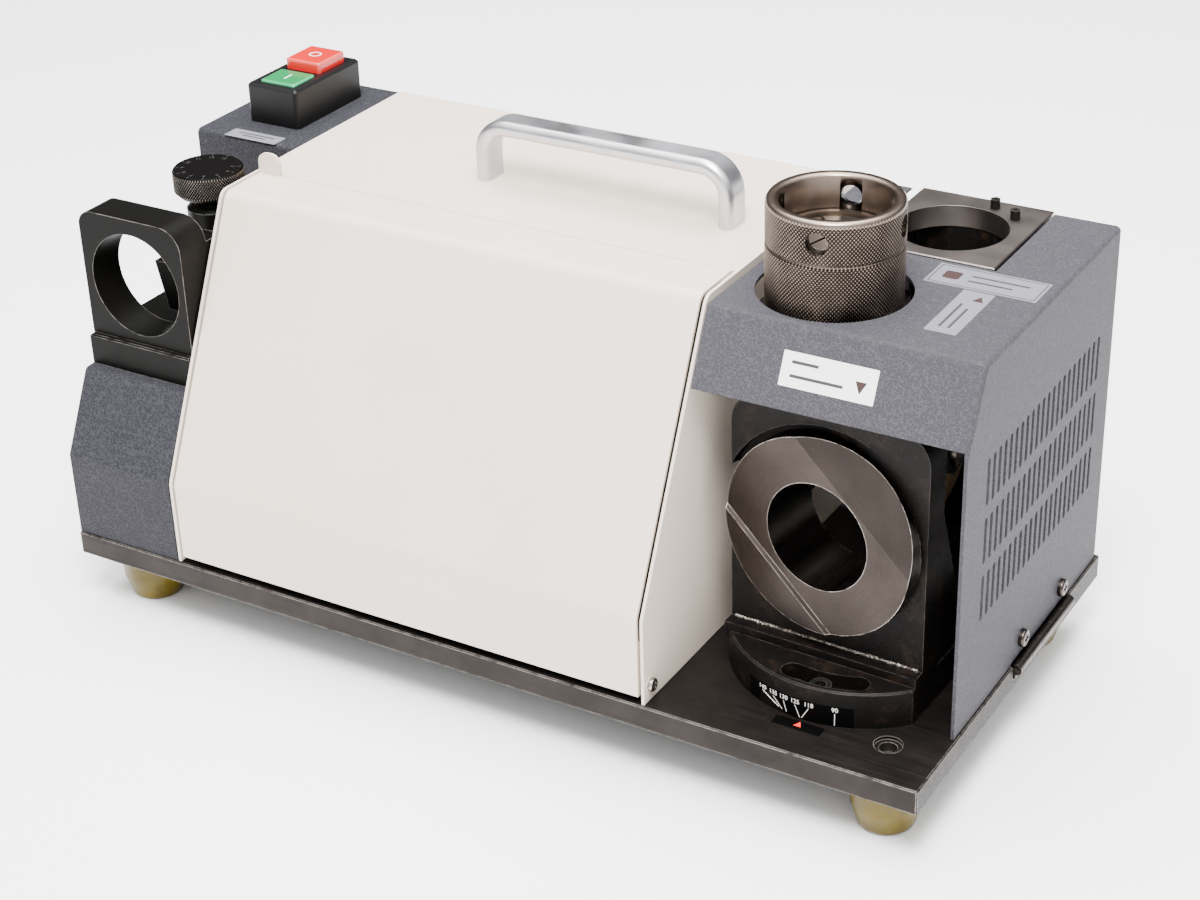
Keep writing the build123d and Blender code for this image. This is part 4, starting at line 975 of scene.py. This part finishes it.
# Moulded polyamide: black with a dull spark-eroded grain.
BLACK_PLASTIC = Moulded("polyamide_black_moulded", "#0C0C0D", 0.40, shade="#070708")
# Moulded keys under clear hoods: saturated, glossy, with rims painted pale as a painted highlight.
GREEN_KEY = KeyCap("polycarbonate_green_moulded", "#047A42", 0.22, 0.0, "#5FC79A", "#036B3A")
RED_KEY = KeyCap("polycarbonate_red_moulded", "#C41A16", 0.22, 0.0, "#E88F88", "#AE1512")
# Cast polyurethane: amber, glowing where light comes through its rim.
AMBER = Clear("polyurethane_amber_cast", "#6F5C00", 0.12, deep="#3A3000", passing=0.05)
# Printed polyester films: smooth, even, slightly glossy.
LABEL_WHITE = Print("polyester_film_white", "#F1F0EE", 0.35)
LABEL_SILVER = Print("polyester_film_silver", "#85858E", 0.30, 0.3, "#777780")
LABEL_BLACK = Print("polyester_film_black", "#030303", 0.40, 0.0, "#050505", 0.04)
# Printing inks: flat, dull, thinner than their film.
INK_WHITE = Print("ink_white", "#D9D7D2", 0.4)
INK_BROWN = Print("ink_brown", "#2C1A19", 0.45, 0.0, "#3A2624")
INK_GREY = Print("ink_grey", "#2E2B2B", 0.45, 0.0, "#3B3838")
INK_RED = Print("ink_red", "#D8281A", 0.45, 0.0, "#C92A18")
# Bonded boron nitride grit: dull brown, rough to the eye.
GRIT = CastIron("cubic_nitride_grit_bonded", "#5A4A34", 0.75, 0.0, "#6B5A3C", 0.35, 0.2, "#8A7A5C")
# Stacked silicon steel sheets: grey with fine rings.
STACK = GroundSteel("silicon_steel_laminations", "#6B6B6C", 0.4, 1.0, "#4D4D4F", "#8F8F90",
                    (2600.0, 20.0, 20.0))


# ---- sub-assemblies ----
class Assembly(ABC):
    """Part of the machine: build() makes its own pieces, dress() gives CAD nodes their finish."""

    def build(self) -> None:
        """Make the pieces that the CAD frame leaves to looks."""

    @abstractmethod
    def dress(self) -> None:
        """Finish the CAD nodes."""


@dataclass
class Base(Assembly):
    """Ground plate on four amber feet, with the pointer label of the angle scale."""

    pointer_width: float = 23.0 * MM
    pointer_height: float = 6.0 * MM
    pointer_place: Pair = (161.0 * MM, -86.5 * MM)
    arrow: float = 3.6 * MM

    def build(self) -> None:
        """Lay the black pointer label and its red arrow on the plate."""
        patch = Plane((*self.pointer_place, top_of("base_plate")), (1, 0, 0), (0, 1, 0))
        sheet = rectangle(self.pointer_width, self.pointer_height, 0.3 * MM)
        label = film("pointer_label", sheet, patch, 0, FILM)
        fit(label, LABEL_BLACK, "frame", "black_plastic")
        tip = triangle(self.arrow) + np.array((0.0, 0.8 * MM))
        fit(film("pointer_arrow", tip, patch, FILM, 0.06 * MM), INK_RED, "frame", "red_key")

    def dress(self) -> None:
        """Finish the plate, feet and their screws."""
        dress(PLATE_STEEL, "base_plate")
        dress(AMBER, "feet")
        dress(ZINC, "foot_screws")


@dataclass
class Housing(Assembly):
    """Left housing with the electrics, the switch and a small label."""

    label_centre: Pair = (-191.5 * MM, 19.0 * MM)
    label_size: Pair = (31.0 * MM, 9.5 * MM)

    def build(self) -> None:
        """Lay the silver label, and print a bar and a circle on the keys."""
        patch = Plane((*self.label_centre, top_of("left_housing")), (1, 0, 0), (0, 1, 0))
        plate = film("housing_label", rectangle(*self.label_size, 0.4 * MM), patch, 0, FILM)
        fit(plate, LABEL_SILVER, "frame", "satin_aluminium")
        lines = [((0.0, 1.4 * MM), 22.0 * MM), ((0.0, -1.2 * MM), 14.0 * MM)]
        for n, (place, width) in enumerate(lines):
            bar = film(f"housing_label_bar_{n}", strip(width, 1.0 * MM, place, 2), patch, FILM, INK)
            fit(bar, INK_GREY, "frame", "black_plastic")
        for node, sign, body in (("green_key", "I", "green_key"), ("red_key", "O", "red_key")):
            centre = middle(node)
            top = Plane((centre[0], centre[1], top_of(node)), (1, 0, 0), (0, 1, 0))
            mark = words(f"{node}_sign", sign, 9.0 * MM, top, (0.0, 0.0), 0.0)
            fit(mark, INK_WHITE, body, node)

    def dress(self) -> None:
        """Finish the box, the switch and what is inside."""
        # The left housing takes the darker copy of the grey: painted shade.
        dress(GREY_PAINTED_SHADE, "left_housing")
        dress(BLACK_PLASTIC, "cord_gland", "switch_body")
        dress(GREEN_KEY, "green_key")
        dress(RED_KEY, "red_key")
        dress(CAN, "run_capacitor")
        dress(HARD_STEEL, "green_spring", "red_spring")


@dataclass
class SettingStation(Assembly):
    """Black setting block with its bore, and the numbered dial that moves the drill stop."""

    skirt: float = 2.4 * MM
    rim_height: float = 12.6 * MM
    stem_radius: float = 5.0 * MM
    neck_radius: float = 7.5 * MM
    neck_height: float = 3.7 * MM
    knurl: Knurl = Knurl(teeth=80, pitch=1.8 * MM, depth=0.50 * MM, samples=6)
    numbers: tuple[int, ...] = (3, 4, 5, 6, 7, 8, 9, 10, 11, 12, 13)

    def build(self) -> None:
        """Turn the dial with a knurled rim, and print its ring of numbers."""
        low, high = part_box("setting_knob")
        x, y = middle("setting_knob")[:2]
        radius, top = (high.x - low.x) / 2, high.z
        foot = top - self.rim_height
        shoulder = foot - self.neck_height
        rows = self.knurl.rows(foot + self.skirt, top - 0.8 * MM)
        crest = self.knurl.crest(rows)
        below = np.array([(self.stem_radius * 0.02, low.z), (self.stem_radius, low.z),
                          (self.stem_radius, shoulder), (self.neck_radius, shoulder),
                          (self.neck_radius, foot), (radius - 2.2 * MM, foot)])
        above = np.array([(radius - 0.9 * MM, top), (radius * 0.5, top), (radius * 0.01, top)])
        around = crest.shape[1]
        rim = turned(np.stack([np.full(len(rows), radius), rows], -1), (x, y), around)
        inward = (crest - 1) * self.knurl.depth
        rim[..., 0] += inward * (rim[..., 0] - x) / radius
        rim[..., 1] += inward * (rim[..., 1] - y) / radius
        rings = np.concatenate([turned(below, (x, y), around), rim, turned(above, (x, y), around)])
        shine = np.concatenate([np.full((len(below), around), 0.1), crest, np.zeros((len(above), around))])
        fit(skin("dial", rings, crest=shine, sharp=50.0), KNOB_STEEL, "setting_knob", "knurled_dark_steel",
            "setting_knob")
        self.print_numbers((x, y), radius, top)

    def print_numbers(self, centre: Pair, radius: float, top: float) -> None:
        """Print a number and a tick for each size, evenly round the dial's face.

        Args:
            centre: The dial's axis.
            radius: Its radius.
            top: Height of its face.
        """
        patch = Plane((*centre, top), (1, 0, 0), (0, 1, 0))
        for n, number in enumerate(self.numbers):
            angle = np.radians(60 + 300 * n / (len(self.numbers) - 1))
            out = np.array([np.sin(angle), np.cos(angle)])
            place = tuple(out * (radius - 5.2 * MM))
            mark = words(f"dial_number_{number}", str(number), 2.9 * MM, patch, place, 0.0, -angle)
            fit(mark, INK_GREY, "setting_knob", "satin_steel")
            line = stroke(tuple(out * (radius - 3.1 * MM)), tuple(out * (radius - 1.4 * MM)), 0.35 * MM)
            tick = film(f"dial_tick_{number}", line, patch, 0.0, INK)
            fit(tick, INK_GREY, "setting_knob", "satin_steel")

    def dress(self) -> None:
        """Finish the block, its base and the stop."""
        dress(OXIDE, "setting_base", "setting_block", "spindle_housing", "drill_stop")
        dress(SCREW_OXIDE, "setting_screws")


@dataclass
class MiddleCover(Assembly):
    """Cream cover with the storage door, the bow handle and the collets inside."""

    def dress(self) -> None:
        """Finish the sheets, handle, rack and collets."""
        dress(CREAM, "middle_cover", "storage_door")
        dress(ANODISED, "carry_handle")
        dress(ZINC, "door_pivots", "handle_screws")
        dress(BLACK_PLASTIC, "collet_rack")
        dress(HARD_STEEL, "spare_collets")


@dataclass
class PortBracket(Assembly):
    """Swivelling cast bracket with the port ring and the angle scale."""

    pivot: Pair = (161.0 * MM, -23.0 * MM)
    base_radius: float = 59.2 * MM
    scale_from: float = -29.0
    scale_to: float = 22.0
    scale_low: float = 12.6 * MM
    scale_high: float = 22.3 * MM
    type_size: float = 3.0 * MM
    wall_front: float = 31.3 * MM
    wall_span: Pair = (-47.0 * MM, 42.5 * MM)
    pad_top: float = 34.5 * MM
    wall_yaw: float = -2.0
    ring_yaw: float = -8.0
    ring_height: float = 90.0 * MM

    def scale_marks(self) -> list[tuple[str, float, float, float]]:
        """List the scale's numbers.

        Returns:
            For each: its text, its angle, its tick's angle (degrees) and the tick's foot above the band (mm).
        """
        return [("140", -20.7, -11.4, 2.0), ("135", -14.6, -9.8, 1.6), ("130", -9.2, -7.6, 1.2),
                ("125", -3.6, -1.2, 0.6), ("118", 2.7, -0.4, 0.6), ("90", 14.0, 14.0, 0.4)]

    def build(self) -> None:
        """Wrap the black scale round the base, with its numbers and leaders."""
        span = np.radians(self.scale_to - self.scale_from) * self.base_radius
        facing = np.radians((self.scale_to + self.scale_from) / 2)
        tall = self.scale_high - self.scale_low
        patch = Barrel(self.pivot, self.base_radius, 0.0, self.scale_low)
        band = strip(span, tall, (facing * self.base_radius, tall / 2), 40)
        rings = np.stack([patch.lift(band, 0.0), patch.lift(band, FILM)])
        fit(skin("angle_scale", rings), LABEL_BLACK, "swivel", "black_plastic")
        for text, angle, tick, foot in self.scale_marks():
            place = (np.radians(angle) * self.base_radius, tall - 1.7 * MM)
            number = words(f"scale_{text}", text, self.type_size, patch, place, FILM)
            fit(number, INK_WHITE, "swivel", "satin_steel")
            bottom = (np.radians(tick) * self.base_radius, foot * MM)
            head = (place[0], tall - 3.4 * MM)
            leader = film(f"scale_leader_{text}", stroke(head, bottom, 0.3 * MM), patch, FILM, INK)
            fit(leader, INK_WHITE, "swivel", "satin_steel")
        self.bead()

    def bead(self) -> None:
        """Lumpy fettled seam where the wall meets the base: a small round section whose radius wanders."""
        yaw = np.radians(self.wall_yaw)
        out, side = np.array([np.sin(yaw), -np.cos(yaw)]), np.array([np.cos(yaw), np.sin(yaw)])
        chance = np.random.default_rng(7)
        count, around = 260, 12
        run = np.linspace(*self.wall_span, count)
        wander = np.convolve(chance.normal(0, 1, count + 8), np.ones(5) / 5, "same")[4:-4]
        lumps = 1.0 + 0.30 * chance.normal(0, 1, (count, around))
        radius = (0.75 + 0.20 * wander[:, None]) * np.clip(lumps, 0.5, 1.7) * MM
        radius[[0, -1]] *= 0.3
        angle = np.linspace(0, 2 * np.pi, around, endpoint=False)
        reach = self.wall_front + radius * np.cos(angle)
        height = self.pad_top + radius * np.sin(angle)
        flat = np.array(self.pivot) + run[:, None, None] * side + reach[..., None] * out
        seam = skin("cast_seam", np.concatenate([flat, height[..., None]], -1), sharp=60.0)
        fit(seam, IRON_BRIGHT, "swivel", "black_cast_iron")

    def dress(self) -> None:
        """Finish the casting, the ring and their fasteners."""
        dress(IRON, "swivel_bracket")
        ring = middle("cam_ring")
        yaw = np.radians(self.ring_yaw)
        centre = (float(ring[0]), float(ring[1]), self.ring_height)
        axis = (float(np.sin(yaw)), float(-np.cos(yaw)), 0.0)
        # Face-turned tool steel: fine rings that spread the light into a fan round the bore.
        dress(TurnedSteel("tool_steel_face_turned", "#3A3431", 0.30, 1.0, centre, axis), "cam_ring")
        dress(SCREW_OXIDE, "ring_screws", "lock_screw")
        dress(HARD_STEEL, "bracket_pivot")


class LabelKind(Enum):
    """The three labels on the guard."""

    WIDE = "wide"
    NARROW = "narrow"
    SKIRT = "skirt"


@dataclass
class Guard(Assembly):
    """Hinged guard with its labels, hinge and the chuck's seat."""

    wide: tuple[Pair, Pair] = ((194.2 * MM, 21.5 * MM), (50.3 * MM, 20.0 * MM))
    narrow: tuple[Pair, Pair] = ((195.2 * MM, -10.6 * MM), (14.1 * MM, 42.3 * MM))
    skirt: tuple[Pair, Pair] = ((158.9 * MM, 17.3 * MM), (42.6 * MM, 14.7 * MM))
    skirt_foot: Pair = (-65.8 * MM, 149.6 * MM)
    skirt_head: Pair = (-50.0 * MM, 182.2 * MM)

    def patch(self, kind: LabelKind) -> Plane:
        """Find where a label lies: two on the top, one on the sloping skirt.

        Args:
            kind: Which label.

        Returns:
            The patch, its origin at the label's middle.
        """
        if kind is LabelKind.SKIRT:
            foot, head = np.array(self.skirt_foot), np.array(self.skirt_head)
            slope = (head - foot) / np.linalg.norm(head - foot)
            (x, along), _ = self.skirt
            place = foot + slope * along
            return Plane((x, place[0], place[1]), (1, 0, 0), (0, slope[0], slope[1]))
        (x, y), _ = self.wide if kind is LabelKind.WIDE else self.narrow
        return Plane((x, y, top_of("guard_cover")), (1, 0, 0), (0, 1, 0))

    def bars(self, kind: LabelKind) -> list[tuple[Points, Finish]]:
        """List the outlines printed on a label: plain bars, a frame and a pointer, with no words.

        Args:
            kind: Which label.

        Returns:
            Outlines (points, 2), each with its ink.
        """
        if kind is LabelKind.WIDE:
            (_, (width, height)) = self.wide
            edge = 1.4 * MM
            frame_lines = [((-1, -1), (1, -1)), ((1, -1), (1, 1)), ((1, 1), (-1, 1)), ((-1, 1), (-1, -1))]
            u, v = width / 2 - edge, height / 2 - edge
            lines = [(stroke((a[0] * u, a[1] * v), (b[0] * u, b[1] * v), 0.45 * MM), INK_BROWN)
                     for a, b in frame_lines]
            texts = [(strip(26 * MM, 1.3 * MM, (5 * MM, 2.6 * MM), 2), INK_GREY),
                     (strip(20 * MM, 1.3 * MM, (2 * MM, -2.4 * MM), 2), INK_GREY)]
            square = rectangle(7.5 * MM, 7.5 * MM, 1.5 * MM) + np.array((-16.0 * MM, 0.2 * MM))
            return lines + texts + [(square, INK_BROWN)]
        if kind is LabelKind.NARROW:
            return [(strip(1.2 * MM, 24 * MM, (-2.4 * MM, -4 * MM), 2), INK_GREY),
                    (strip(1.2 * MM, 20 * MM, (1.6 * MM, -6 * MM), 2), INK_GREY),
                    (triangle(5.0 * MM) + np.array((2.6 * MM, 14.5 * MM)), INK_BROWN)]
        return [(strip(12 * MM, 1.3 * MM, (-11 * MM, 3.2 * MM), 2), INK_GREY),
                (strip(24 * MM, 1.3 * MM, (-5 * MM, -2.6 * MM), 2), INK_GREY),
                (-triangle(5.2 * MM) + np.array((14.5 * MM, -1.4 * MM)), INK_BROWN)]

    def build(self) -> None:
        """Lay the labels and what is printed on them."""
        sizes = {LabelKind.WIDE: (self.wide[1], LABEL_SILVER),
                 LabelKind.NARROW: (self.narrow[1], LABEL_SILVER),
                 LabelKind.SKIRT: (self.skirt[1], LABEL_WHITE)}
        for kind, (size, finish) in sizes.items():
            patch = self.patch(kind)
            name = f"guard_label_{kind.value}"
            label = film(name, rectangle(*size, 0.4 * MM), patch, 0.0, FILM)
            fit(label, finish, "guard", "satin_aluminium")
            for n, (outline, ink) in enumerate(self.bars(kind)):
                printed = film(f"{name}_print_{n}", outline, patch, FILM, INK)
                fit(printed, ink, "guard", "black_plastic")

    def dress(self) -> None:
        """Finish the guard, hinge and seat."""
        dress(GREY, "guard_cover")
        dress(HINGE_STEEL, "hinge_plate_half", "hinge_cover_half", "hinge_pin", "hinge_screws")
        dress(PLATE_STEEL, "chuck_seat")
        dress(HARD_STEEL, "seat_pins")


@dataclass
class Chuck(Assembly):
    """Collet chuck: knurled body and nut, turned bright inside."""

    knurl: Knurl = Knurl(teeth=112, pitch=1.9 * MM, depth=0.50 * MM, samples=6)
    register_radius: float = 25.04 * MM
    register_length: float = 21.0 * MM
    nut_bore: float = 24.1 * MM
    hole_radius: float = 4.8 * MM
    hole_angle: float = -80.0
    bare: float = 0.75

    def sleeve(self, name: str, below: Sequence[Pair], span: Pair, above: Sequence[Pair], radius: float,
               centre: Pair) -> bpy.types.Object:
        """Ring with a bore and a knurled band: two plain profiles joined by the band's rows.

        Args:
            name: The piece's name.
            below: Profile (radius, height) that leads from the bore to the band's lower edge.
            span: Lowest and highest row of the band.
            above: Profile that leads back into the bore.
            radius: Outer radius over the points of the knurl.
            centre: The axis.

        Returns:
            The new object.
        """
        rows = self.knurl.rows(*span)
        crest = self.knurl.crest(rows)
        around = crest.shape[1]
        angle = np.linspace(0, 2 * np.pi, around, endpoint=False)
        reach = radius - (1 - crest) * self.knurl.depth
        band = np.stack([centre[0] + reach * np.cos(angle), centre[1] + reach * np.sin(angle),
                         np.broadcast_to(rows[:, None], reach.shape)], -1)
        plain = [turned(np.array(profile), centre, around) for profile in (below, above)]
        shine = np.concatenate([np.full((len(below), around), self.bare), crest,
                                np.full((len(above), around), self.bare)])
        return skin(name, np.concatenate([plain[0], band, plain[1]]), closed=True, crest=shine, sharp=50.0)

    def build(self) -> None:
        """Make the body and the nut, and drill the nut's four holes."""
        low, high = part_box("chuck_body")
        nut_low, nut_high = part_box("chuck_nut")
        centre = tuple(float(v) for v in middle("chuck_nut")[:2])
        radius = (nut_high.x - nut_low.x) / 2
        edge = radius - 0.8 * MM
        seat = low.z + self.register_length + 0.05 * MM
        lip = nut_low.z - 0.2 * MM
        body = self.sleeve(
            "chuck_sleeve",
            [(12 * MM, low.z + 8 * MM), (12 * MM, low.z), (self.register_radius - 1 * MM, low.z),
             (self.register_radius, low.z + 1 * MM), (self.register_radius, seat), (edge, seat)],
            (seat + 0.8 * MM, lip - 0.8 * MM),
            [(edge, lip), (23 * MM, lip), (23 * MM, high.z), (20.5 * MM, high.z)], radius, centre)
        fit(body, CHUCK_STEEL, "chuck", "knurled_steel", "chuck_body")
        nut = self.sleeve(
            "chuck_ring_nut",
            [(self.nut_bore, nut_high.z - 1.1 * MM), (self.nut_bore, nut_low.z), (edge, nut_low.z)],
            (nut_low.z + 0.8 * MM, nut_high.z - 2.6 * MM),
            [(radius - 0.35 * MM, nut_high.z - 2.3 * MM), (radius - 0.35 * MM, nut_high.z - 1.0 * MM),
             (radius - 1.2 * MM, nut_high.z), (self.nut_bore + 1.1 * MM, nut_high.z)], radius, centre)
        self.drill(nut, centre, nut_high.z - 9.5 * MM)
        fit(nut, CHUCK_STEEL, "chuck_nut", "knurled_steel", "chuck_nut")

    def drill(self, nut: bpy.types.Object, centre: Pair, height: float) -> None:
        """Cut the tommy-bar holes: each is a round rod taken away along a radius.

        Args:
            nut: The nut, whose mesh is replaced.
            centre: Its axis.
            height: Height of the holes.
        """
        angle = np.linspace(0, 2 * np.pi, 40, endpoint=False)
        for n in range(4):
            turn = np.radians(self.hole_angle + 90 * n)
            out, side = np.array([np.cos(turn), np.sin(turn), 0]), np.array([-np.sin(turn), np.cos(turn), 0])
            circle = np.cos(angle)[:, None] * side + np.sin(angle)[:, None] * np.array([0, 0, 1])
            ring = self.hole_radius * circle + np.array([*centre, height])
            cutter = skin(f"cutter_{n}", np.stack([ring + out * 15 * MM, ring + out * 40 * MM]))
            cut = nut.modifiers.new("hole", "BOOLEAN")
            cut.object = cutter
            cut.operation = "DIFFERENCE"
            cut.solver = "EXACT"
            result = bpy.data.meshes.new_from_object(nut.evaluated_get(bpy.context.evaluated_depsgraph_get()))
            nut.modifiers.clear()
            nut.data = result
            bpy.data.objects.remove(cutter)

    def dress(self) -> None:
        """Finish the collet."""
        dress(HARD_STEEL, "chuck_collet")


@dataclass
class RearPort(Assembly):
    """Port plate behind the chuck, on its own bracket."""

    def dress(self) -> None:
        """Finish the plate, pins, bracket and the panel behind the wheel."""
        dress(PORT_STEEL, "rear_port_plate")
        dress(SCREW_OXIDE, "rear_port_pins", "bracket_screws")
        dress(IRON, "rear_port_bracket")
        dress(GREY, "rear_panel")


@dataclass
class Drive(Assembly):
    """Motor, shaft, fan and grinding wheel inside the covers."""

    def dress(self) -> None:
        """Finish the motor and the wheel."""
        dress(DIE_CAST, "motor_frame", "motor_front_bell", "motor_rear_bell")
        dress(HARD_STEEL, "motor_bearings", "motor_shaft")
        dress(STACK, "rotor_core")
        dress(BLACK_PLASTIC, "cooling_fan")
        dress(IRON, "motor_cradle")
        dress(SCREW_OXIDE, "cradle_screws", "wheel_nut", "wheel_flange")
        dress(GRIT, "grinding_wheel")


# ---- studio ----
@dataclass
class Softbox:
    """Square area light that faces the machine."""

    name: str
    place: Triple
    size: float
    power: float
    aim: Triple = (0.0, 0.0, 0.08)

    def build(self) -> None:
        """Put the light in the scene."""
        data = bpy.data.lights.new(self.name, "AREA")
        data.size = self.size
        data.energy = self.power
        lamp = bpy.data.objects.new(self.name, data)
        bpy.context.scene.collection.objects.link(lamp)
        lamp.location = self.place
        away = np.array(self.place) - np.array(self.aim)
        back = away / np.linalg.norm(away)
        right = np.cross((0, 0, 1), back)
        right = right / np.linalg.norm(right)
        up = np.cross(back, right)
        turn = np.eye(4)
        turn[:3, :3] = np.stack([right, up, back], -1)
        turn[:3, 3] = self.place
        lamp.matrix_world = Matrix(turn.tolist())


@dataclass
class Studio:
    """Pale floor, soft lights and the camera."""

    floor_size: float = 60.0
    floor_colour: str = "#FBFBFB"
    bright_side: Triple = (0.15, -0.25, 0.96)
    dark: float = 0.07
    bright: float = 3.6
    azimuth: float = 31.43
    elevation: float = 28.62
    roll: float = -1.88
    place: Triple = (0.52706, -0.84001, 0.60402)
    lens: float = 71.35

    def floor(self) -> None:
        """Lay the pale paper under the feet."""
        half = self.floor_size / 2
        low = CAD_BOX[0].z
        mesh = bpy.data.meshes.new("floor")
        corners = [(-half, -half, low), (half, -half, low), (half, half, low), (-half, half, low)]
        mesh.from_pydata(corners, [], [(0, 1, 2, 3)])
        ground = bpy.data.objects.new("floor", mesh)
        bpy.context.scene.collection.objects.link(ground)
        mesh.materials.append(Print("paper_backdrop", self.floor_colour, 0.9, 0.0, "#F9F9F9").material())

    def lights(self) -> None:
        """Light the room from a bright ceiling, with two soft boxes above and to the right front."""
        world = bpy.data.worlds.new("studio")
        world.use_nodes = True
        tree = world.node_tree
        sky = tree.nodes["Background"]
        sky.inputs["Color"].default_value = (1.0, 1.0, 1.0, 1.0)
        towards = add(tree, "TexCoord").outputs["Generated"]
        facing = add(tree, "VectorMath", {0: towards, 1: self.bright_side}, operation="DOT_PRODUCT")
        level = add(tree, "MapRange", {"Value": facing.outputs["Value"], "From Min": 0.25, "From Max": 1.0,
                                       "To Min": self.dark, "To Max": self.bright})
        tree.links.new(level.outputs[0], sky.inputs["Strength"])
        bpy.context.scene.world = world
        Softbox("key", (0.40, -0.80, 1.8), 0.7, 105.0).build()
        Softbox("top", (-0.1, 0.3, 1.7), 1.4, 62.0).build()

    def camera(self) -> None:
        """Camera at the viewing angle: azimuth round the machine, elevation above it, and a slight roll."""
        a, e, r = np.radians([self.azimuth, self.elevation, self.roll])
        back = np.array([np.sin(a) * np.cos(e), -np.cos(a) * np.cos(e), np.sin(e)])
        right = np.array([np.cos(a), np.sin(a), 0.0])
        up = np.cross(back, right)
        turn = np.eye(4)
        turn[:3, 0] = np.cos(r) * right + np.sin(r) * up
        turn[:3, 1] = -np.sin(r) * right + np.cos(r) * up
        turn[:3, 2] = back
        turn[:3, 3] = self.place
        data = bpy.data.cameras.new("camera")
        data.lens = self.lens
        data.sensor_width = 36.0
        eye = bpy.data.objects.new("camera", data)
        bpy.context.scene.collection.objects.link(eye)
        eye.matrix_world = Matrix(turn.tolist())
        bpy.context.scene.camera = eye

    def build(self) -> None:
        """Make the whole studio."""
        self.floor()
        self.lights()
        self.camera()


def main() -> None:
    """Build every sub-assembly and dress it."""
    logging.basicConfig(level=logging.INFO, format="%(message)s")
    Studio().build()
    for part in (Base(), Housing(), SettingStation(), MiddleCover(), PortBracket(), Guard(), Chuck(),
                 RearPort(), Drive()):
        part.build()
        part.dress()
        log.info("built %s", type(part).__name__)


if __name__ == "__main__":
    main()
